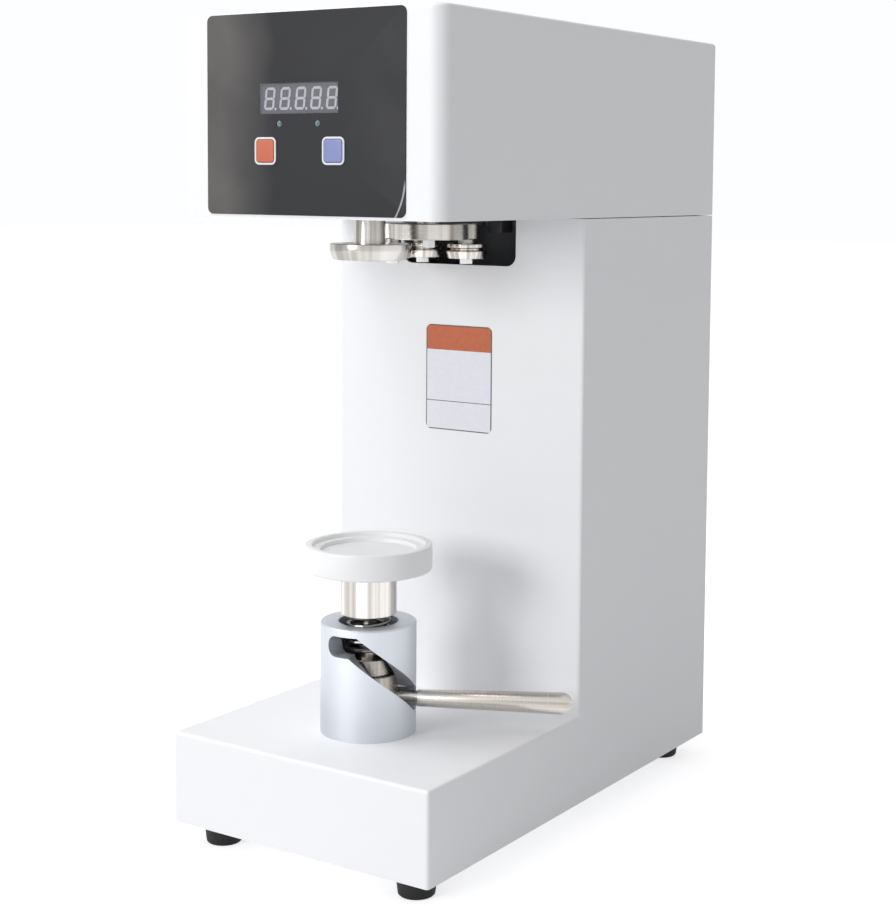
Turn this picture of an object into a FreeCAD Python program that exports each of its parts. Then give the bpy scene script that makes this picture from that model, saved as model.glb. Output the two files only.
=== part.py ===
import FreeCAD, Part
import math
import os

os.makedirs("parts", exist_ok=True)
Vector = FreeCAD.Vector
ALONG_X = Vector(1, 0, 0)
ALONG_Y = Vector(0, 1, 0)
UP = Vector(0, 0, 1)
DOWN = Vector(0, 0, -1)

# A bench can seamer, in millimetres. The origin is on the standing surface, centred between the feet.
# X runs across the machine, Y runs from front to back and Z runs up.

# Housing: base and column in one folded shell, with a cover over the head.
width = 220.0
depth = 395.0
base_height = 65.0
column_height = 363.0
head_height = 137.0
column_setback = 190.0
head_setback = 11.5
sheet = 2.0
bend_radius = 2.5
head_corner_radius = 11.0
head_edge_radius = 3.0
seam_gap = 0.6
cover_gap = 0.4
lip_width = 12.0
cutout_width = 101.0
cutout_offset = 1.5
cutout_drop = 36.5
cutout_radius = 8.0

# Feet.
foot_height = 16.0
foot_top_radius = 14.5
foot_bottom_radius = 12.5
foot_recess_radius = 6.5
foot_recess_depth = 8.0
foot_side_inset = 26.0
foot_end_inset = 24.0

# Plates and posts that carry the load.
base_plate_thickness = 3.0
main_plate_thickness = 10.0
post_width = 34.0
post_depth = 90.0
post_wall = 3.0
post_end = 4.0
post_spacing = 154.0
bridge_length = 120.0
bridge_depth = 90.0
bridge_web = 6.0
bridge_leg = 4.0
bridge_foot = 16.0

# Clearances.
running = 0.05
air = 0.3

# Screws as shank radius, head radius and head height.
m4 = (2.0, 3.8, 2.4)
m5 = (2.5, 4.25, 5.0)
m6 = (3.0, 5.0, 6.0)
m8 = (4.0, 6.5, 4.6)

# Places and grips of the screws.
base_screw_inset = 47.5
rear_screw_rise = 30.0
head_screw_inset = 30.0
head_screw_grip = 9.0
cover_screw_tip = 3.0
plate_bolt_tip = 4.0
sleeve_bolt_grip = 12.0
housing_screw_length = 14.0
chuck_screw_length = 24.0
turret_bolt_grip = 9.0
foot_screw_tip = 5.0

# Seaming spindle, straight above the lift.
lift_setback = 82.0
chuck_drop = 29.2
chuck_height = 11.2
chuck_taper_height = 6.4
chuck_radius = 27.5
chuck_face_radius = 25.3
chuck_recess_radius = 7.5
chuck_recess_depth = 5.5
chuck_web = 1.7
spindle_radius = 11.0
spigot_radius = 8.0
bearing_bore = 10.0
bearing_outer = 21.0
bearing_width = 12.0
bearing_wall = 5.0
bearing_span = 19.0
clip_thickness = 1.6
clip_depth = 2.5
clip_setback = 1.4
spindle_flange_radius = 36.0
spindle_flange_thickness = 8.0
pulley_seat_radius = 9.0
spindle_nut_radius = 12.0
spindle_nut_height = 8.0

# Belt drive.
motor_back_inset = 102.5
spindle_pitch_radius = 30.0
motor_pitch_radius = 22.0
belt_level = 59.0
belt_width = 10.0
belt_height = 6.0
belt_crown = 2.5
belt_half_angle = 19.0
pulley_width = 16.0
pulley_rim = 3.0
pulley_root = 5.0
motor_radius = 50.0
motor_length = 170.0
motor_flange = 110.0
motor_flange_thickness = 8.0
motor_shaft_radius = 7.0
motor_shaft_depth = 30.0
motor_flange_corner = 12.0
motor_bolt_inset = 9.0
motor_band_inset = 30.0
motor_band_height = 2.5
terminal_box = (60.0, 34.0, 50.0)
terminal_box_drop = 90.0

# Roller turret, behind the spindle.
turret_offset = 72.0
turret_gap = 5.1
turret_thickness = 11.6
turret_radius = 29.5
turret_edge = 0.6
turret_shaft_radius = 9.0
turret_journal_radius = 6.0
turret_bearing_outer = 14.0
turret_bearing_width = 8.0
turret_bearing_span = 6.0
turret_housing_wall = 4.0
bracket_left_x = 20.5
bracket_screw_x = 26.0
bracket_thickness = 2.0
bracket_corner_radius = 1.5
sensor_right_x = 43.0
sensor_width = 12.0
sensor_depth = 16.0
sensor_height = 10.0
sensor_edge_radius = 0.8
sensor_stud_radius = 1.4
sensor_stud_inset = 3.5
turret_flange_radius = 27.0
turret_flange_thickness = 4.0
roller_pitch_radius = 27.5
roller_angles = (43.0, 135.0, 203.0)
roller_boss_radius = 9.5
roller_drop = 20.0
roller_height = 10.7
roller_ring_radius = 14.4
roller_radius = 14.8
roller_tip_radius = 13.4
roller_groove_depths = (2.6, 1.8, 2.2)
roller_pin_radius = 4.0
roller_collar_radius = 6.5
roller_head_radius = 5.2
roller_head_height = 3.6
lock_hole_radius = 3.5
lock_hole_depth = 6.0
gearmotor_radius = 18.5
gearbox_length = 26.0
gearmotor_length = 60.0
gearmotor_shaft_radius = 3.0

# Hand lift.
sleeve_radius = 34.0
sleeve_bore = 21.0
sleeve_height = 79.0
sleeve_chamfer = 1.0
sleeve_bolt_circle = 27.5
slot_width = 14.7
slot_low = 24.0
slot_high = 66.5
slot_ramp = (21.6, -72.0)
slot_ends = (30.5, -95.4)
slot_overrun = 8.0
piston_floor = 4.0
piston_height = 38.0
piston_recess_radius = 9.5
piston_recess_depth = 12.0
seat_radius = 17.5
seat_height = 12.0
seat_guide_radius = 9.0
seat_guide_height = 14.0
stem_radius = 6.0
stem_tail = 4.0
stem_clip_radius = 8.5
stem_clip_thickness = 1.2
spring_radius = 14.5
spring_wire = 1.6
spring_turns = 5.5
spring_facets = 16
spring_sides = 8
cup_gap = 5.3
cup_radius = 20.0
cup_height = 30.7
cup_recess_radius = 17.2
cup_recess_depth = 4.7
tray_bearing_bore = 5.0
tray_bearing_outer = 13.0
tray_bearing_width = 8.0
tray_gap = 0.4
tray_radius = 45.0
tray_height = 18.6
tray_edge = 2.0
tray_step_radius = 39.5
tray_step_depth = 3.0
tray_seat_radius = 33.8
tray_seat_depth = 6.0
handle_angle = 27.0
handle_stud_radius = 5.0
handle_stud_inner = 8.0
handle_shoulder = 1.2
handle_root_radius = 6.0
handle_tip_radius = 7.75
handle_reach = 145.0

# Control panel on the head.
overlay_width = 167.0
overlay_height = 134.0
overlay_offset = -1.5
overlay_rise = 2.0
overlay_radius = 4.5
overlay_thickness = 0.6
display_width = 66.0
display_height = 20.4
display_offset = -5.3
display_rise = 79.2
display_depth = 9.7
lamp_radius = 2.5
lamp_positions = (-21.6, 10.6)
lamp_rise = 62.5
lamp_stand = 0.9
key_width = 15.0
key_radius = 2.0
key_stand = 1.3
key_gap = 0.25
key_rim = 1.7
key_rim_stand = 0.5
key_flange = 2.0
key_flange_thickness = 1.5
key_travel = 0.6
key_rise = 44.6
stop_key_offset = -33.2
start_key_offset = 24.2
key_switch_width = 12.0
key_switch_gap = 0.1
board_depth = 10.0
board_thickness = 1.6
board_width = 124.0
board_height = 92.0
board_rise = 22.0
standoff_radius = 3.0
standoff_inset = 5.0
standoff_pin_radius = 1.5
standoff_pin_end = 2.0
chip_size = (30.0, 4.0, 14.0)

# Back panel.
vent_width = 56.0
vent_height = 5.0
vent_pitch = 14.0
vent_count = 7
vent_rise = 210.0
vent_offset = 40.0
inlet_rise = 60.0
inlet_offset = 40.0
inlet_flange = (50.0, 28.0)
inlet_body = (27.0, 20.0)
inlet_mouth = (24.0, 16.0)
inlet_flange_thickness = 3.0
inlet_depth = 22.0
inlet_wall = 3.0
inlet_pin = (2.0, 4.0)
inlet_pin_spacing = 7.0
inlet_pin_setback = 3.2
switch_offset = -40.0
switch_bezel = (21.0, 30.0)
switch_body = (17.0, 26.5)
switch_bezel_thickness = 2.0
switch_depth = 18.0
rocker_radius = 12.0
rocker_width = 12.6
rocker_swing = 20.0
rocker_sink = 7.0
rocker_dish = 0.25
supply_size = (100.0, 90.0, 42.0)
supply_back_inset = 37.5
supply_rib_margin = (15.0, 12.0)
supply_rib_width = 3.0
supply_rib_pitch = 9.0
supply_rib_count = 8
supply_rib_depth = 1.5

# Levels and places that follow from the sizes above.
side_x = width / 2
inner_x = side_x - sheet
front_y = -depth / 2
back_y = depth / 2
back_inner_y = back_y - sheet
column_y = front_y + column_setback
head_y = front_y + head_setback
head_inner_y = head_y + sheet
underside_z = foot_height
floor_z = underside_z + base_plate_thickness
base_top_z = underside_z + base_height
head_z = base_top_z + column_height
plate_top_z = head_z + main_plate_thickness
top_z = head_z + head_height
lift_y = front_y + lift_setback
lift = (0.0, lift_y)
turret = (0.0, lift_y + turret_offset)
motor = (0.0, back_y - motor_back_inset)


def block(x, y, z):
    """A box between a low and a high value along each axis."""
    return Part.makeBox(x[1] - x[0], y[1] - y[0], z[1] - z[0], Vector(x[0], y[0], z[0]))


def across(centre, size):
    """The low and high value of a size laid evenly about a centre."""
    return (centre - size / 2, centre + size / 2)


def grown(pair, margin):
    """A low and a high value moved apart by a margin at each end."""
    return (pair[0] - margin, pair[1] + margin)


def rod(centre, z, radius):
    """An upright cylinder between two levels."""
    return Part.makeCylinder(radius, z[1] - z[0], Vector(centre[0], centre[1], z[0]))


def cross_rod(x, y, z, radius):
    """A cylinder along Y between two values of Y."""
    return Part.makeCylinder(radius, y[1] - y[0], Vector(x, y[0], z), ALONG_Y)


def turned(centre, profile):
    """A piece turned about an upright axis from its half section of (radius, level) corners."""
    points = [Vector(radius, 0, level) for radius, level in profile]
    face = Part.Face(Part.makePolygon(points + points[:1]))
    solid = face.revolve(Vector(0, 0, 0), UP, 360)
    solid.translate(Vector(centre[0], centre[1], 0))
    return solid


def ring(centre, z, outer, inner):
    """A plain turned ring."""
    return turned(centre, [(inner, z[0]), (outer, z[0]), (outer, z[1]), (inner, z[1])])


def straight(edge):
    """The unit direction of a straight edge, or a zero vector for a curved one."""
    if edge.Curve.TypeId != "Part::GeomLine":
        return Vector(0, 0, 0)
    return (edge.Vertexes[-1].Point - edge.Vertexes[0].Point).normalize()


def rounded(shape, radius, wanted):
    """The shape with the wanted edges rounded; wanted takes an edge's middle and direction."""
    edges = [edge for edge in shape.Edges if wanted(edge.CenterOfMass, straight(edge))]
    return shape.makeFillet(radius, edges)


def rounded_block(x, y, z, radius, axis):
    """A box whose four edges along one axis are rounded."""
    return rounded(block(x, y, z), radius, lambda middle, way: abs(way.dot(axis)) > 0.99)


def near(first, second):
    """True for two equal lengths."""
    return abs(first - second) < 0.01


def joined(shapes):
    """Overlapping shapes as one solid."""
    return shapes[0].multiFuse(shapes[1:]).removeSplitter()


def placed(shape, seat, direction):
    """A shape built pointing down at the origin, moved to its seat and turned to its direction."""
    shape.Placement = FreeCAD.Placement(seat, FreeCAD.Rotation(DOWN, direction))
    return shape


def hexagon(radius, z):
    """A hexagonal prism; the radius is measured to its corners."""
    corners = []
    for step in range(7):
        turn = math.radians(60 * step)
        corners.append(Vector(radius * math.cos(turn), radius * math.sin(turn), z[0]))
    return Part.Face(Part.makePolygon(corners)).extrude(Vector(0, 0, z[1] - z[0]))


def screw(size, seat, direction, length, head="plain"):
    """A screw with its head on the seat and its shank running in the given direction."""
    shank_radius, head_radius, head_height = size
    shank = Part.makeCylinder(shank_radius, length, Vector(0, 0, -length))
    if head == "hexagon":
        top = hexagon(head_radius, (0, head_height))
    else:
        top = Part.makeCylinder(head_radius, head_height)
    if head == "socket":
        top = top.cut(hexagon(0.5 * head_radius, (0.5 * head_height, head_height + 1)))
    return placed(joined([shank, top]), seat, direction)


def screw_hole(size, seat, direction, length):
    """The clearance hole that a screw's shank runs in, open past its seat."""
    hole = Part.makeCylinder(size[0] + running, length + 1, Vector(0, 0, -length))
    return placed(hole, seat, direction)


def around(centre, radius, angles, z):
    """Points on a circle about a centre, one for each angle in degrees."""
    turns = [math.radians(angle) for angle in angles]
    return [
        Vector(centre[0] + radius * math.cos(turn), centre[1] + radius * math.sin(turn), z)
        for turn in turns
    ]


def bearing(centre, z, outer, inner):
    """A ball bearing with the shallow recess that shows between its two rings."""
    middle = (outer + inner) / 2
    half = (outer - inner) / 6
    recess = 0.6
    profile = [
        (inner, z[0]), (middle - half, z[0]), (middle - half, z[0] + recess),
        (middle + half, z[0] + recess), (middle + half, z[0]), (outer, z[0]),
        (outer, z[1]), (middle + half, z[1]), (middle + half, z[1] - recess),
        (middle - half, z[1] - recess), (middle - half, z[1]), (inner, z[1]),
    ]
    return turned(centre, profile)


# ---- Fixing points that two or more pieces share.
foot_x = side_x - foot_side_inset
foot_y = back_y - foot_end_inset
foot_points = [Vector(x, y, foot_recess_depth) for x in (-foot_x, foot_x) for y in (-foot_y, foot_y)]

sleeve_bolt_angles = (45.0, 135.0, 225.0, 315.0)
sleeve_bolt_seat_z = base_top_z - sheet - bridge_web
sleeve_bolt_length = sheet + bridge_web + sleeve_bolt_grip
sleeve_bolt_points = around(lift, sleeve_bolt_circle, sleeve_bolt_angles, sleeve_bolt_seat_z)

post_y = across(motor[1], post_depth)
post_bolt_x = post_spacing / 2
post_bolt_y = post_depth / 4
post_bolt_places = [
    (side * post_bolt_x, motor[1] + end * post_bolt_y) for side in (-1, 1) for end in (-1, 1)
]
motor_bolt_x = motor_flange / 2 - motor_bolt_inset
motor_bolt_places = [
    (side * motor_bolt_x, motor[1] + end * motor_bolt_x) for side in (-1, 1) for end in (-1, 1)
]
plate_bolt_length = main_plate_thickness + plate_bolt_tip

lip_middle = lip_width / 2 + sheet
base_screw_points = [
    Vector(side * (side_x - lip_middle), y, underside_z)
    for side in (-1, 1)
    for y in (front_y + base_screw_inset, 0.0, back_y - base_screw_inset)
]
base_screw_length = base_plate_thickness + sheet + cover_screw_tip
rear_screw_points = [
    Vector(side * (side_x - lip_middle), back_y, floor_z + rise)
    for side in (-1, 1)
    for rise in (rear_screw_rise, column_height / 2, column_height)
]
rear_screw_length = 2 * sheet + cover_screw_tip
head_screw_x = side_x - head_screw_inset
head_screw_points = [
    Vector(x, back_y, head_z + main_plate_thickness / 2) for x in (-head_screw_x, 0.0, head_screw_x)
]
head_screw_length = sheet + head_screw_grip

spindle_screw_angles = (45.0, 135.0, 225.0, 315.0)
spindle_screw_circle = spindle_flange_radius - m5[1] - 0.7
spindle_housing_radius = bearing_outer + bearing_wall
spindle_screw_z = plate_top_z + spindle_flange_thickness
spindle_screw_points = around(lift, spindle_screw_circle, spindle_screw_angles, spindle_screw_z)


# ---- Housing.
def housing_solid(inset, z, rear_y):
    """The L-shaped body of base and column, drawn in from its front, sides and base top."""
    outline = [
        (front_y + inset, z[0]), (rear_y, z[0]), (rear_y, z[1]), (column_y + inset, z[1]),
        (column_y + inset, base_top_z - inset), (front_y + inset, base_top_z - inset),
    ]
    points = [Vector(inset - side_x, y, level) for y, level in outline]
    face = Part.Face(Part.makePolygon(points + points[:1]))
    return face.extrude(Vector(width - 2 * inset, 0, 0))


def housing_bend(middle, way):
    """True on the folded edges of the shell: round the base top and up its front corners."""
    on_side = near(abs(middle.x), side_x)
    upright = abs(way.z) > 0.99 and on_side and (near(middle.y, front_y) or near(middle.y, column_y))
    lengthwise = abs(way.y) > 0.99 and on_side and near(middle.z, base_top_z)
    crosswise = abs(way.x) > 0.99 and near(middle.y, front_y) and near(middle.z, base_top_z)
    return upright or lengthwise or crosswise


def body_shell():
    """Folded and welded steel sheet: base top and front, column front and both side walls."""
    shell_top_z = head_z - seam_gap
    shell = housing_solid(0.0, (underside_z, shell_top_z), back_y)
    shell = rounded(shell, bend_radius, housing_bend)
    shell = shell.cut(housing_solid(sheet, (underside_z - 1, shell_top_z + 1), back_y + 1))
    lip_z = (floor_z, floor_z + sheet)
    lips = [block((-inner_x, inner_x), (front_y + sheet, front_y + sheet + lip_width), lip_z)]
    for side in (-1, 1):
        x = sorted((side * inner_x, side * (inner_x - lip_width)))
        lips.append(block(x, (front_y + sheet, back_inner_y), lip_z))
        lips.append(block(x, (back_inner_y - sheet, back_inner_y), (floor_z, shell_top_z)))
    shell = joined([shell] + lips)
    cutout = rounded_block(
        across(cutout_offset, cutout_width),
        (column_y - 1, column_y + sheet + 1),
        (head_z - cutout_drop, head_z + 2 * cutout_radius),
        cutout_radius,
        ALONG_Y,
    )
    holes = [cutout]
    holes += [screw_hole(m6, point, UP, sleeve_bolt_length) for point in sleeve_bolt_points]
    holes += [screw_hole(m4, point, UP, base_screw_length) for point in base_screw_points]
    holes += [screw_hole(m4, point, -ALONG_Y, rear_screw_length) for point in rear_screw_points]
    return shell.cut(holes)


def base_plate():
    """Steel plate that closes the underside and carries the posts, the bridge and the feet."""
    plate = block(
        (cover_gap - inner_x, inner_x - cover_gap),
        (front_y + sheet + cover_gap, back_inner_y - cover_gap),
        (underside_z, floor_z),
    )
    holes = [screw_hole(m6, point, UP, foot_height) for point in foot_points]
    holes += [screw_hole(m4, point, UP, base_screw_length) for point in base_screw_points]
    post_hole_length = base_plate_thickness + post_end
    for x, y in post_bolt_places:
        holes.append(screw_hole(m6, Vector(x, y, floor_z + post_end), DOWN, post_hole_length))
    return plate.cut(holes)


def obround(x, y, z):
    """A slot across X with half-round ends, cut through along Y."""
    radius = (z[1] - z[0]) / 2
    level = (z[0] + z[1]) / 2
    ends = [cross_rod(end, y, level, radius) for end in (x[0] + radius, x[1] - radius)]
    return joined([block((x[0] + radius, x[1] - radius), y, z)] + ends)


inlet_x = across(inlet_offset, inlet_body[0])
inlet_z = across(base_top_z + inlet_rise, inlet_body[1])
switch_x = across(switch_offset, switch_body[0])
switch_z = across(base_top_z + inlet_rise, switch_body[1])


def rear_cover():
    """Flush steel panel in the back of the column, with vent slots, mains inlet and switch holes."""
    panel = block(
        (cover_gap - inner_x, inner_x - cover_gap),
        (back_inner_y, back_y),
        (underside_z, head_z - seam_gap),
    )
    through = (back_inner_y - 1, back_y + 1)
    holes = [screw_hole(m4, point, -ALONG_Y, rear_screw_length) for point in rear_screw_points]
    for row in range(vent_count):
        level = base_top_z + vent_rise + row * vent_pitch
        for middle in (-vent_offset, vent_offset):
            holes.append(obround(across(middle, vent_width), through, across(level, vent_height)))
    holes.append(block(inlet_x, through, inlet_z))
    holes.append(block(switch_x, through, switch_z))
    return panel.cut(holes)


def cover_screws():
    """The like pan-head screws of the base plate, the rear cover and the head cover."""
    screws = [screw(m4, point, UP, base_screw_length) for point in base_screw_points]
    screws += [screw(m4, point, -ALONG_Y, rear_screw_length) for point in rear_screw_points]
    screws += [screw(m4, point, -ALONG_Y, head_screw_length) for point in head_screw_points]
    return screws


# ---- Openings in the front of the head, shared by the cover and its overlay.
display_x = across(display_offset, display_width)
display_z = across(head_z + display_rise, display_height)
key_z = across(head_z + key_rise, key_width)
stop_key_x = across(stop_key_offset, key_width)
start_key_x = across(start_key_offset, key_width)


def panel_openings(y):
    """The display window, the two lamp holes and the two key holes."""
    openings = [block(display_x, y, display_z)]
    openings += [cross_rod(x, y, head_z + lamp_rise, lamp_radius + running) for x in lamp_positions]
    for key_x in (stop_key_x, start_key_x):
        openings.append(
            rounded_block(grown(key_x, key_gap), y, grown(key_z, key_gap), key_radius + key_gap, ALONG_Y)
        )
    return openings


def head_cover():
    """Folded steel cover over the head, open below, with rounded front corners."""
    outer = block((-side_x, side_x), (head_y, back_y), (head_z, top_z))
    outer = rounded(
        outer,
        head_corner_radius,
        lambda middle, way: abs(way.z) > 0.99 and near(middle.y, head_y),
    )
    outer = rounded(outer, head_edge_radius, lambda middle, way: near(middle.z, top_z))
    inner = block((-inner_x, inner_x), (head_inner_y, back_inner_y), (head_z - 1, top_z - sheet))
    inner = rounded(
        inner,
        head_corner_radius - sheet,
        lambda middle, way: abs(way.z) > 0.99 and near(middle.y, head_inner_y),
    )
    holes = panel_openings((head_y - 1, head_inner_y + 1))
    holes += [screw_hole(m4, point, -ALONG_Y, head_screw_length) for point in head_screw_points]
    return outer.cut([inner] + holes)


def main_plate():
    """Thick steel plate that cantilevers from the posts and carries spindle, turret and motor."""
    plate = block(
        (cover_gap - inner_x, inner_x - cover_gap),
        (head_inner_y + cover_gap, back_inner_y - cover_gap),
        (head_z, plate_top_z),
    )
    plate = rounded(
        plate,
        head_corner_radius - sheet,
        lambda middle, way: abs(way.z) > 0.99 and middle.y < lift_y,
    )
    through = (head_z - 1, plate_top_z + 1)
    holes = [
        rod(lift, through, spindle_housing_radius + running),
        rod(turret, through, turret_housing_radius + running),
        rod(motor, through, motor_pitch_radius),
    ]
    holes += [screw_hole(m4, point, -ALONG_Y, head_screw_length) for point in head_screw_points]
    holes += [screw_hole(m5, point, DOWN, housing_screw_length) for point in spindle_screw_points]
    holes += [screw_hole(m5, point, DOWN, housing_screw_length) for point in turret_screw_points]
    holes.append(screw_hole(m5, bracket_screw_point, UP, housing_screw_length))
    for x, y in post_bolt_places + motor_bolt_places:
        holes.append(screw_hole(m6, Vector(x, y, plate_top_z), DOWN, plate_bolt_length))
    return plate.cut(holes)


def column_posts():
    """Two channel posts with welded end plates, standing on the base plate under the main plate."""
    posts = []
    for side in (-1, 1):
        x = across(side * post_spacing / 2, post_width)
        outer = block(x, post_y, (floor_z, head_z))
        hollow_x = (x[0] + post_wall, x[1] + 1) if side < 0 else (x[0] - 1, x[1] - post_wall)
        hollow_y = grown(post_y, -post_wall)
        post = outer.cut(block(hollow_x, hollow_y, (floor_z + post_end, head_z - post_end)))
        holes = []
        for bolt_x, bolt_y in post_bolt_places:
            holes.append(rod((bolt_x, bolt_y), (floor_z - 1, head_z + 1), m6[0] + running))
        posts.append(post.cut(holes))
    return posts


def frame_bolts():
    """The like socket screws that hold the posts and the motor to the two plates."""
    bolts = []
    foot_grip = base_plate_thickness + post_end - 0.2
    for x, y in post_bolt_places:
        bolts.append(screw(m6, Vector(x, y, plate_top_z), DOWN, plate_bolt_length))
        bolts.append(screw(m6, Vector(x, y, floor_z + post_end), DOWN, foot_grip))
    for x, y in motor_bolt_places:
        bolts.append(screw(m6, Vector(x, y, plate_top_z), DOWN, plate_bolt_length))
    return bolts


def lift_bridge():
    """Bent steel bridge that carries the lift sleeve from below and stands on the base plate."""
    top_z = base_top_z - sheet
    y = across(lift_y, bridge_depth)
    half = bridge_length / 2
    pieces = [block((-half, half), y, (top_z - bridge_web, top_z))]
    for side in (-1, 1):
        leg_x = sorted((side * half, side * (half - bridge_leg)))
        foot_x_range = sorted((side * (half - bridge_leg), side * (half + bridge_foot)))
        pieces.append(block(leg_x, y, (floor_z, top_z)))
        pieces.append(block(foot_x_range, y, (floor_z, floor_z + bridge_leg)))
    bridge = joined(pieces)
    return bridge.cut([screw_hole(m6, point, UP, sleeve_bolt_length) for point in sleeve_bolt_points])


def rubber_feet():
    """Four tapered rubber feet with a recess for the screw head."""
    feet = []
    for point in foot_points:
        foot = turned((point.x, point.y), [
            (foot_recess_radius, 0.0),
            (foot_bottom_radius - 1.0, 0.0),
            (foot_bottom_radius, 1.0),
            (foot_top_radius, foot_height),
            (m6[0] + running, foot_height),
            (m6[0] + running, foot_recess_depth),
            (foot_recess_radius, foot_recess_depth),
        ])
        feet.append(foot)
    return feet


def foot_screws():
    """Screws up through the feet into the base plate."""
    length = foot_height - foot_recess_depth + base_plate_thickness + foot_screw_tip
    return [screw(m6, point, UP, length) for point in foot_points]


# ---- Control panel.
def control_overlay():
    """Dark film on the head front, with embossed rims round the two keys."""
    y = (head_y - overlay_thickness, head_y)
    film = rounded_block(
        across(overlay_offset, overlay_width),
        y,
        (head_z + overlay_rise, head_z + overlay_rise + overlay_height),
        overlay_radius,
        ALONG_Y,
    )
    rims = []
    for key_x in (stop_key_x, start_key_x):
        rims.append(
            rounded_block(
                grown(key_x, key_rim),
                (y[0] - key_rim_stand, y[1]),
                grown(key_z, key_rim),
                key_radius + key_rim,
                ALONG_Y,
            )
        )
    return joined([film] + rims).cut(panel_openings((y[0] - 2 * key_rim_stand, y[1] + 1)))


def display_window():
    """Clear strip set flush in the overlay over the counter."""
    y = (head_y - overlay_thickness, head_y)
    return block(grown(display_x, -running), y, grown(display_z, -running))


board_y = (head_y + board_depth, head_y + board_depth + board_thickness)


def counter_display():
    """Five-figure counter module that stands on the board behind its window."""
    return block(grown(display_x, -air), (board_y[0] - display_depth, board_y[0]), grown(display_z, -air))


def indicator_lamps():
    """Two round-nosed lamps that reach from the board through the panel."""
    lamps = []
    nose_y = head_y - overlay_thickness - lamp_stand + lamp_radius
    for x in lamp_positions:
        z = head_z + lamp_rise
        nose = Part.makeSphere(lamp_radius, Vector(x, nose_y, z))
        lamps.append(joined([nose, cross_rod(x, (nose_y, board_y[0]), z, lamp_radius)]))
    return lamps


key_flange_y = (head_inner_y, head_inner_y + key_flange_thickness)


def key(key_x):
    """Square push key with a retaining flange behind the panel."""
    front_face_y = head_y - overlay_thickness - key_stand
    cap = rounded_block(key_x, (front_face_y, key_flange_y[1]), key_z, key_radius, ALONG_Y)
    cap = rounded(cap, 0.5, lambda middle, way: near(middle.y, front_face_y))
    flange = block(grown(key_x, key_flange), key_flange_y, grown(key_z, key_flange))
    return joined([cap, flange])


board_z = (head_z + board_rise, head_z + board_rise + board_height)
standoff_places = [
    (overlay_offset + side * (board_width / 2 - standoff_inset), level)
    for side in (-1, 1)
    for level in grown(board_z, -standoff_inset)
]


def control_board():
    """Circuit board with the two key switches and a driver chip."""
    board = block(across(overlay_offset, board_width), board_y, board_z)
    pins = [cross_rod(x, grown(board_y, 1), level, standoff_pin_radius) for x, level in standoff_places]
    pieces = [board.cut(pins)]
    switch_y = (key_flange_y[1] + key_travel + key_switch_gap, board_y[0])
    for offset in (stop_key_offset, start_key_offset):
        switch_x_range = across(offset, key_switch_width)
        pieces.append(block(switch_x_range, switch_y, across(head_z + key_rise, key_switch_width)))
    chip_y = (board_y[1], board_y[1] + chip_size[1])
    chip_z = across(sum(board_z) / 2, chip_size[2])
    pieces.append(block(across(overlay_offset, chip_size[0]), chip_y, chip_z))
    return pieces




def board_standoffs():
    """Four posts that hold the board to the inside of the head front."""
    posts = []
    for x, z in standoff_places:
        post = cross_rod(x, (head_inner_y, board_y[0]), z, standoff_radius)
        pin_y = (board_y[0], board_y[1] + standoff_pin_end)
        posts.append(joined([post, cross_rod(x, pin_y, z, standoff_pin_radius - running)]))
    return posts


# ---- Seaming spindle.
clip_z = (head_z + clip_setback, head_z + clip_setback + clip_thickness)
lower_bearing_z = (clip_z[1], clip_z[1] + bearing_width)
upper_bearing_bottom_z = lower_bearing_z[1] + bearing_span
upper_bearing_z = (upper_bearing_bottom_z, upper_bearing_bottom_z + bearing_width)
spindle_housing_top_z = upper_bearing_z[1] + 3.0
belt_z = head_z + belt_level
pulley_z = across(belt_z, pulley_width)
chuck_face_z = head_z - chuck_drop
chuck_top_z = chuck_face_z + chuck_height
chuck_screw_seat_z = chuck_face_z + chuck_recess_depth
chuck_spigot_depth = chuck_height - chuck_recess_depth - chuck_web


def spindle_housing():
    """Turned bearing housing, let into the main plate and held by its flange."""
    flange_z = (plate_top_z, plate_top_z + spindle_flange_thickness)
    groove_radius = bearing_outer + 1.0
    shoulder_radius = bearing_outer - 3.0
    housing = turned(lift, [
        (bearing_outer, head_z),
        (spindle_housing_radius, head_z),
        (spindle_housing_radius, flange_z[0]),
        (spindle_flange_radius, flange_z[0]),
        (spindle_flange_radius, flange_z[1]),
        (spindle_housing_radius, flange_z[1]),
        (spindle_housing_radius, spindle_housing_top_z),
        (bearing_outer, spindle_housing_top_z),
        (bearing_outer, upper_bearing_z[0]),
        (shoulder_radius, upper_bearing_z[0]),
        (shoulder_radius, lower_bearing_z[1]),
        (bearing_outer, lower_bearing_z[1]),
        (bearing_outer, clip_z[1]),
        (groove_radius, clip_z[1]),
        (groove_radius, clip_z[0]),
        (bearing_outer, clip_z[0]),
    ])
    holes = [screw_hole(m5, point, DOWN, housing_screw_length) for point in spindle_screw_points]
    return housing.cut(holes)


def spindle_bearings():
    """The two ball bearings that carry the spindle."""
    return [bearing(lift, z, bearing_outer, bearing_bore) for z in (lower_bearing_z, upper_bearing_z)]


def spindle_clip():
    """Snap ring below the lower bearing."""
    outer = bearing_outer + 1.0 - running
    clip = ring(lift, clip_z, outer, bearing_outer - clip_depth)
    gap = block((-2.5, 2.5), (lift_y, lift_y + outer + 1), grown(clip_z, 1))
    return clip.cut(gap)


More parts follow.
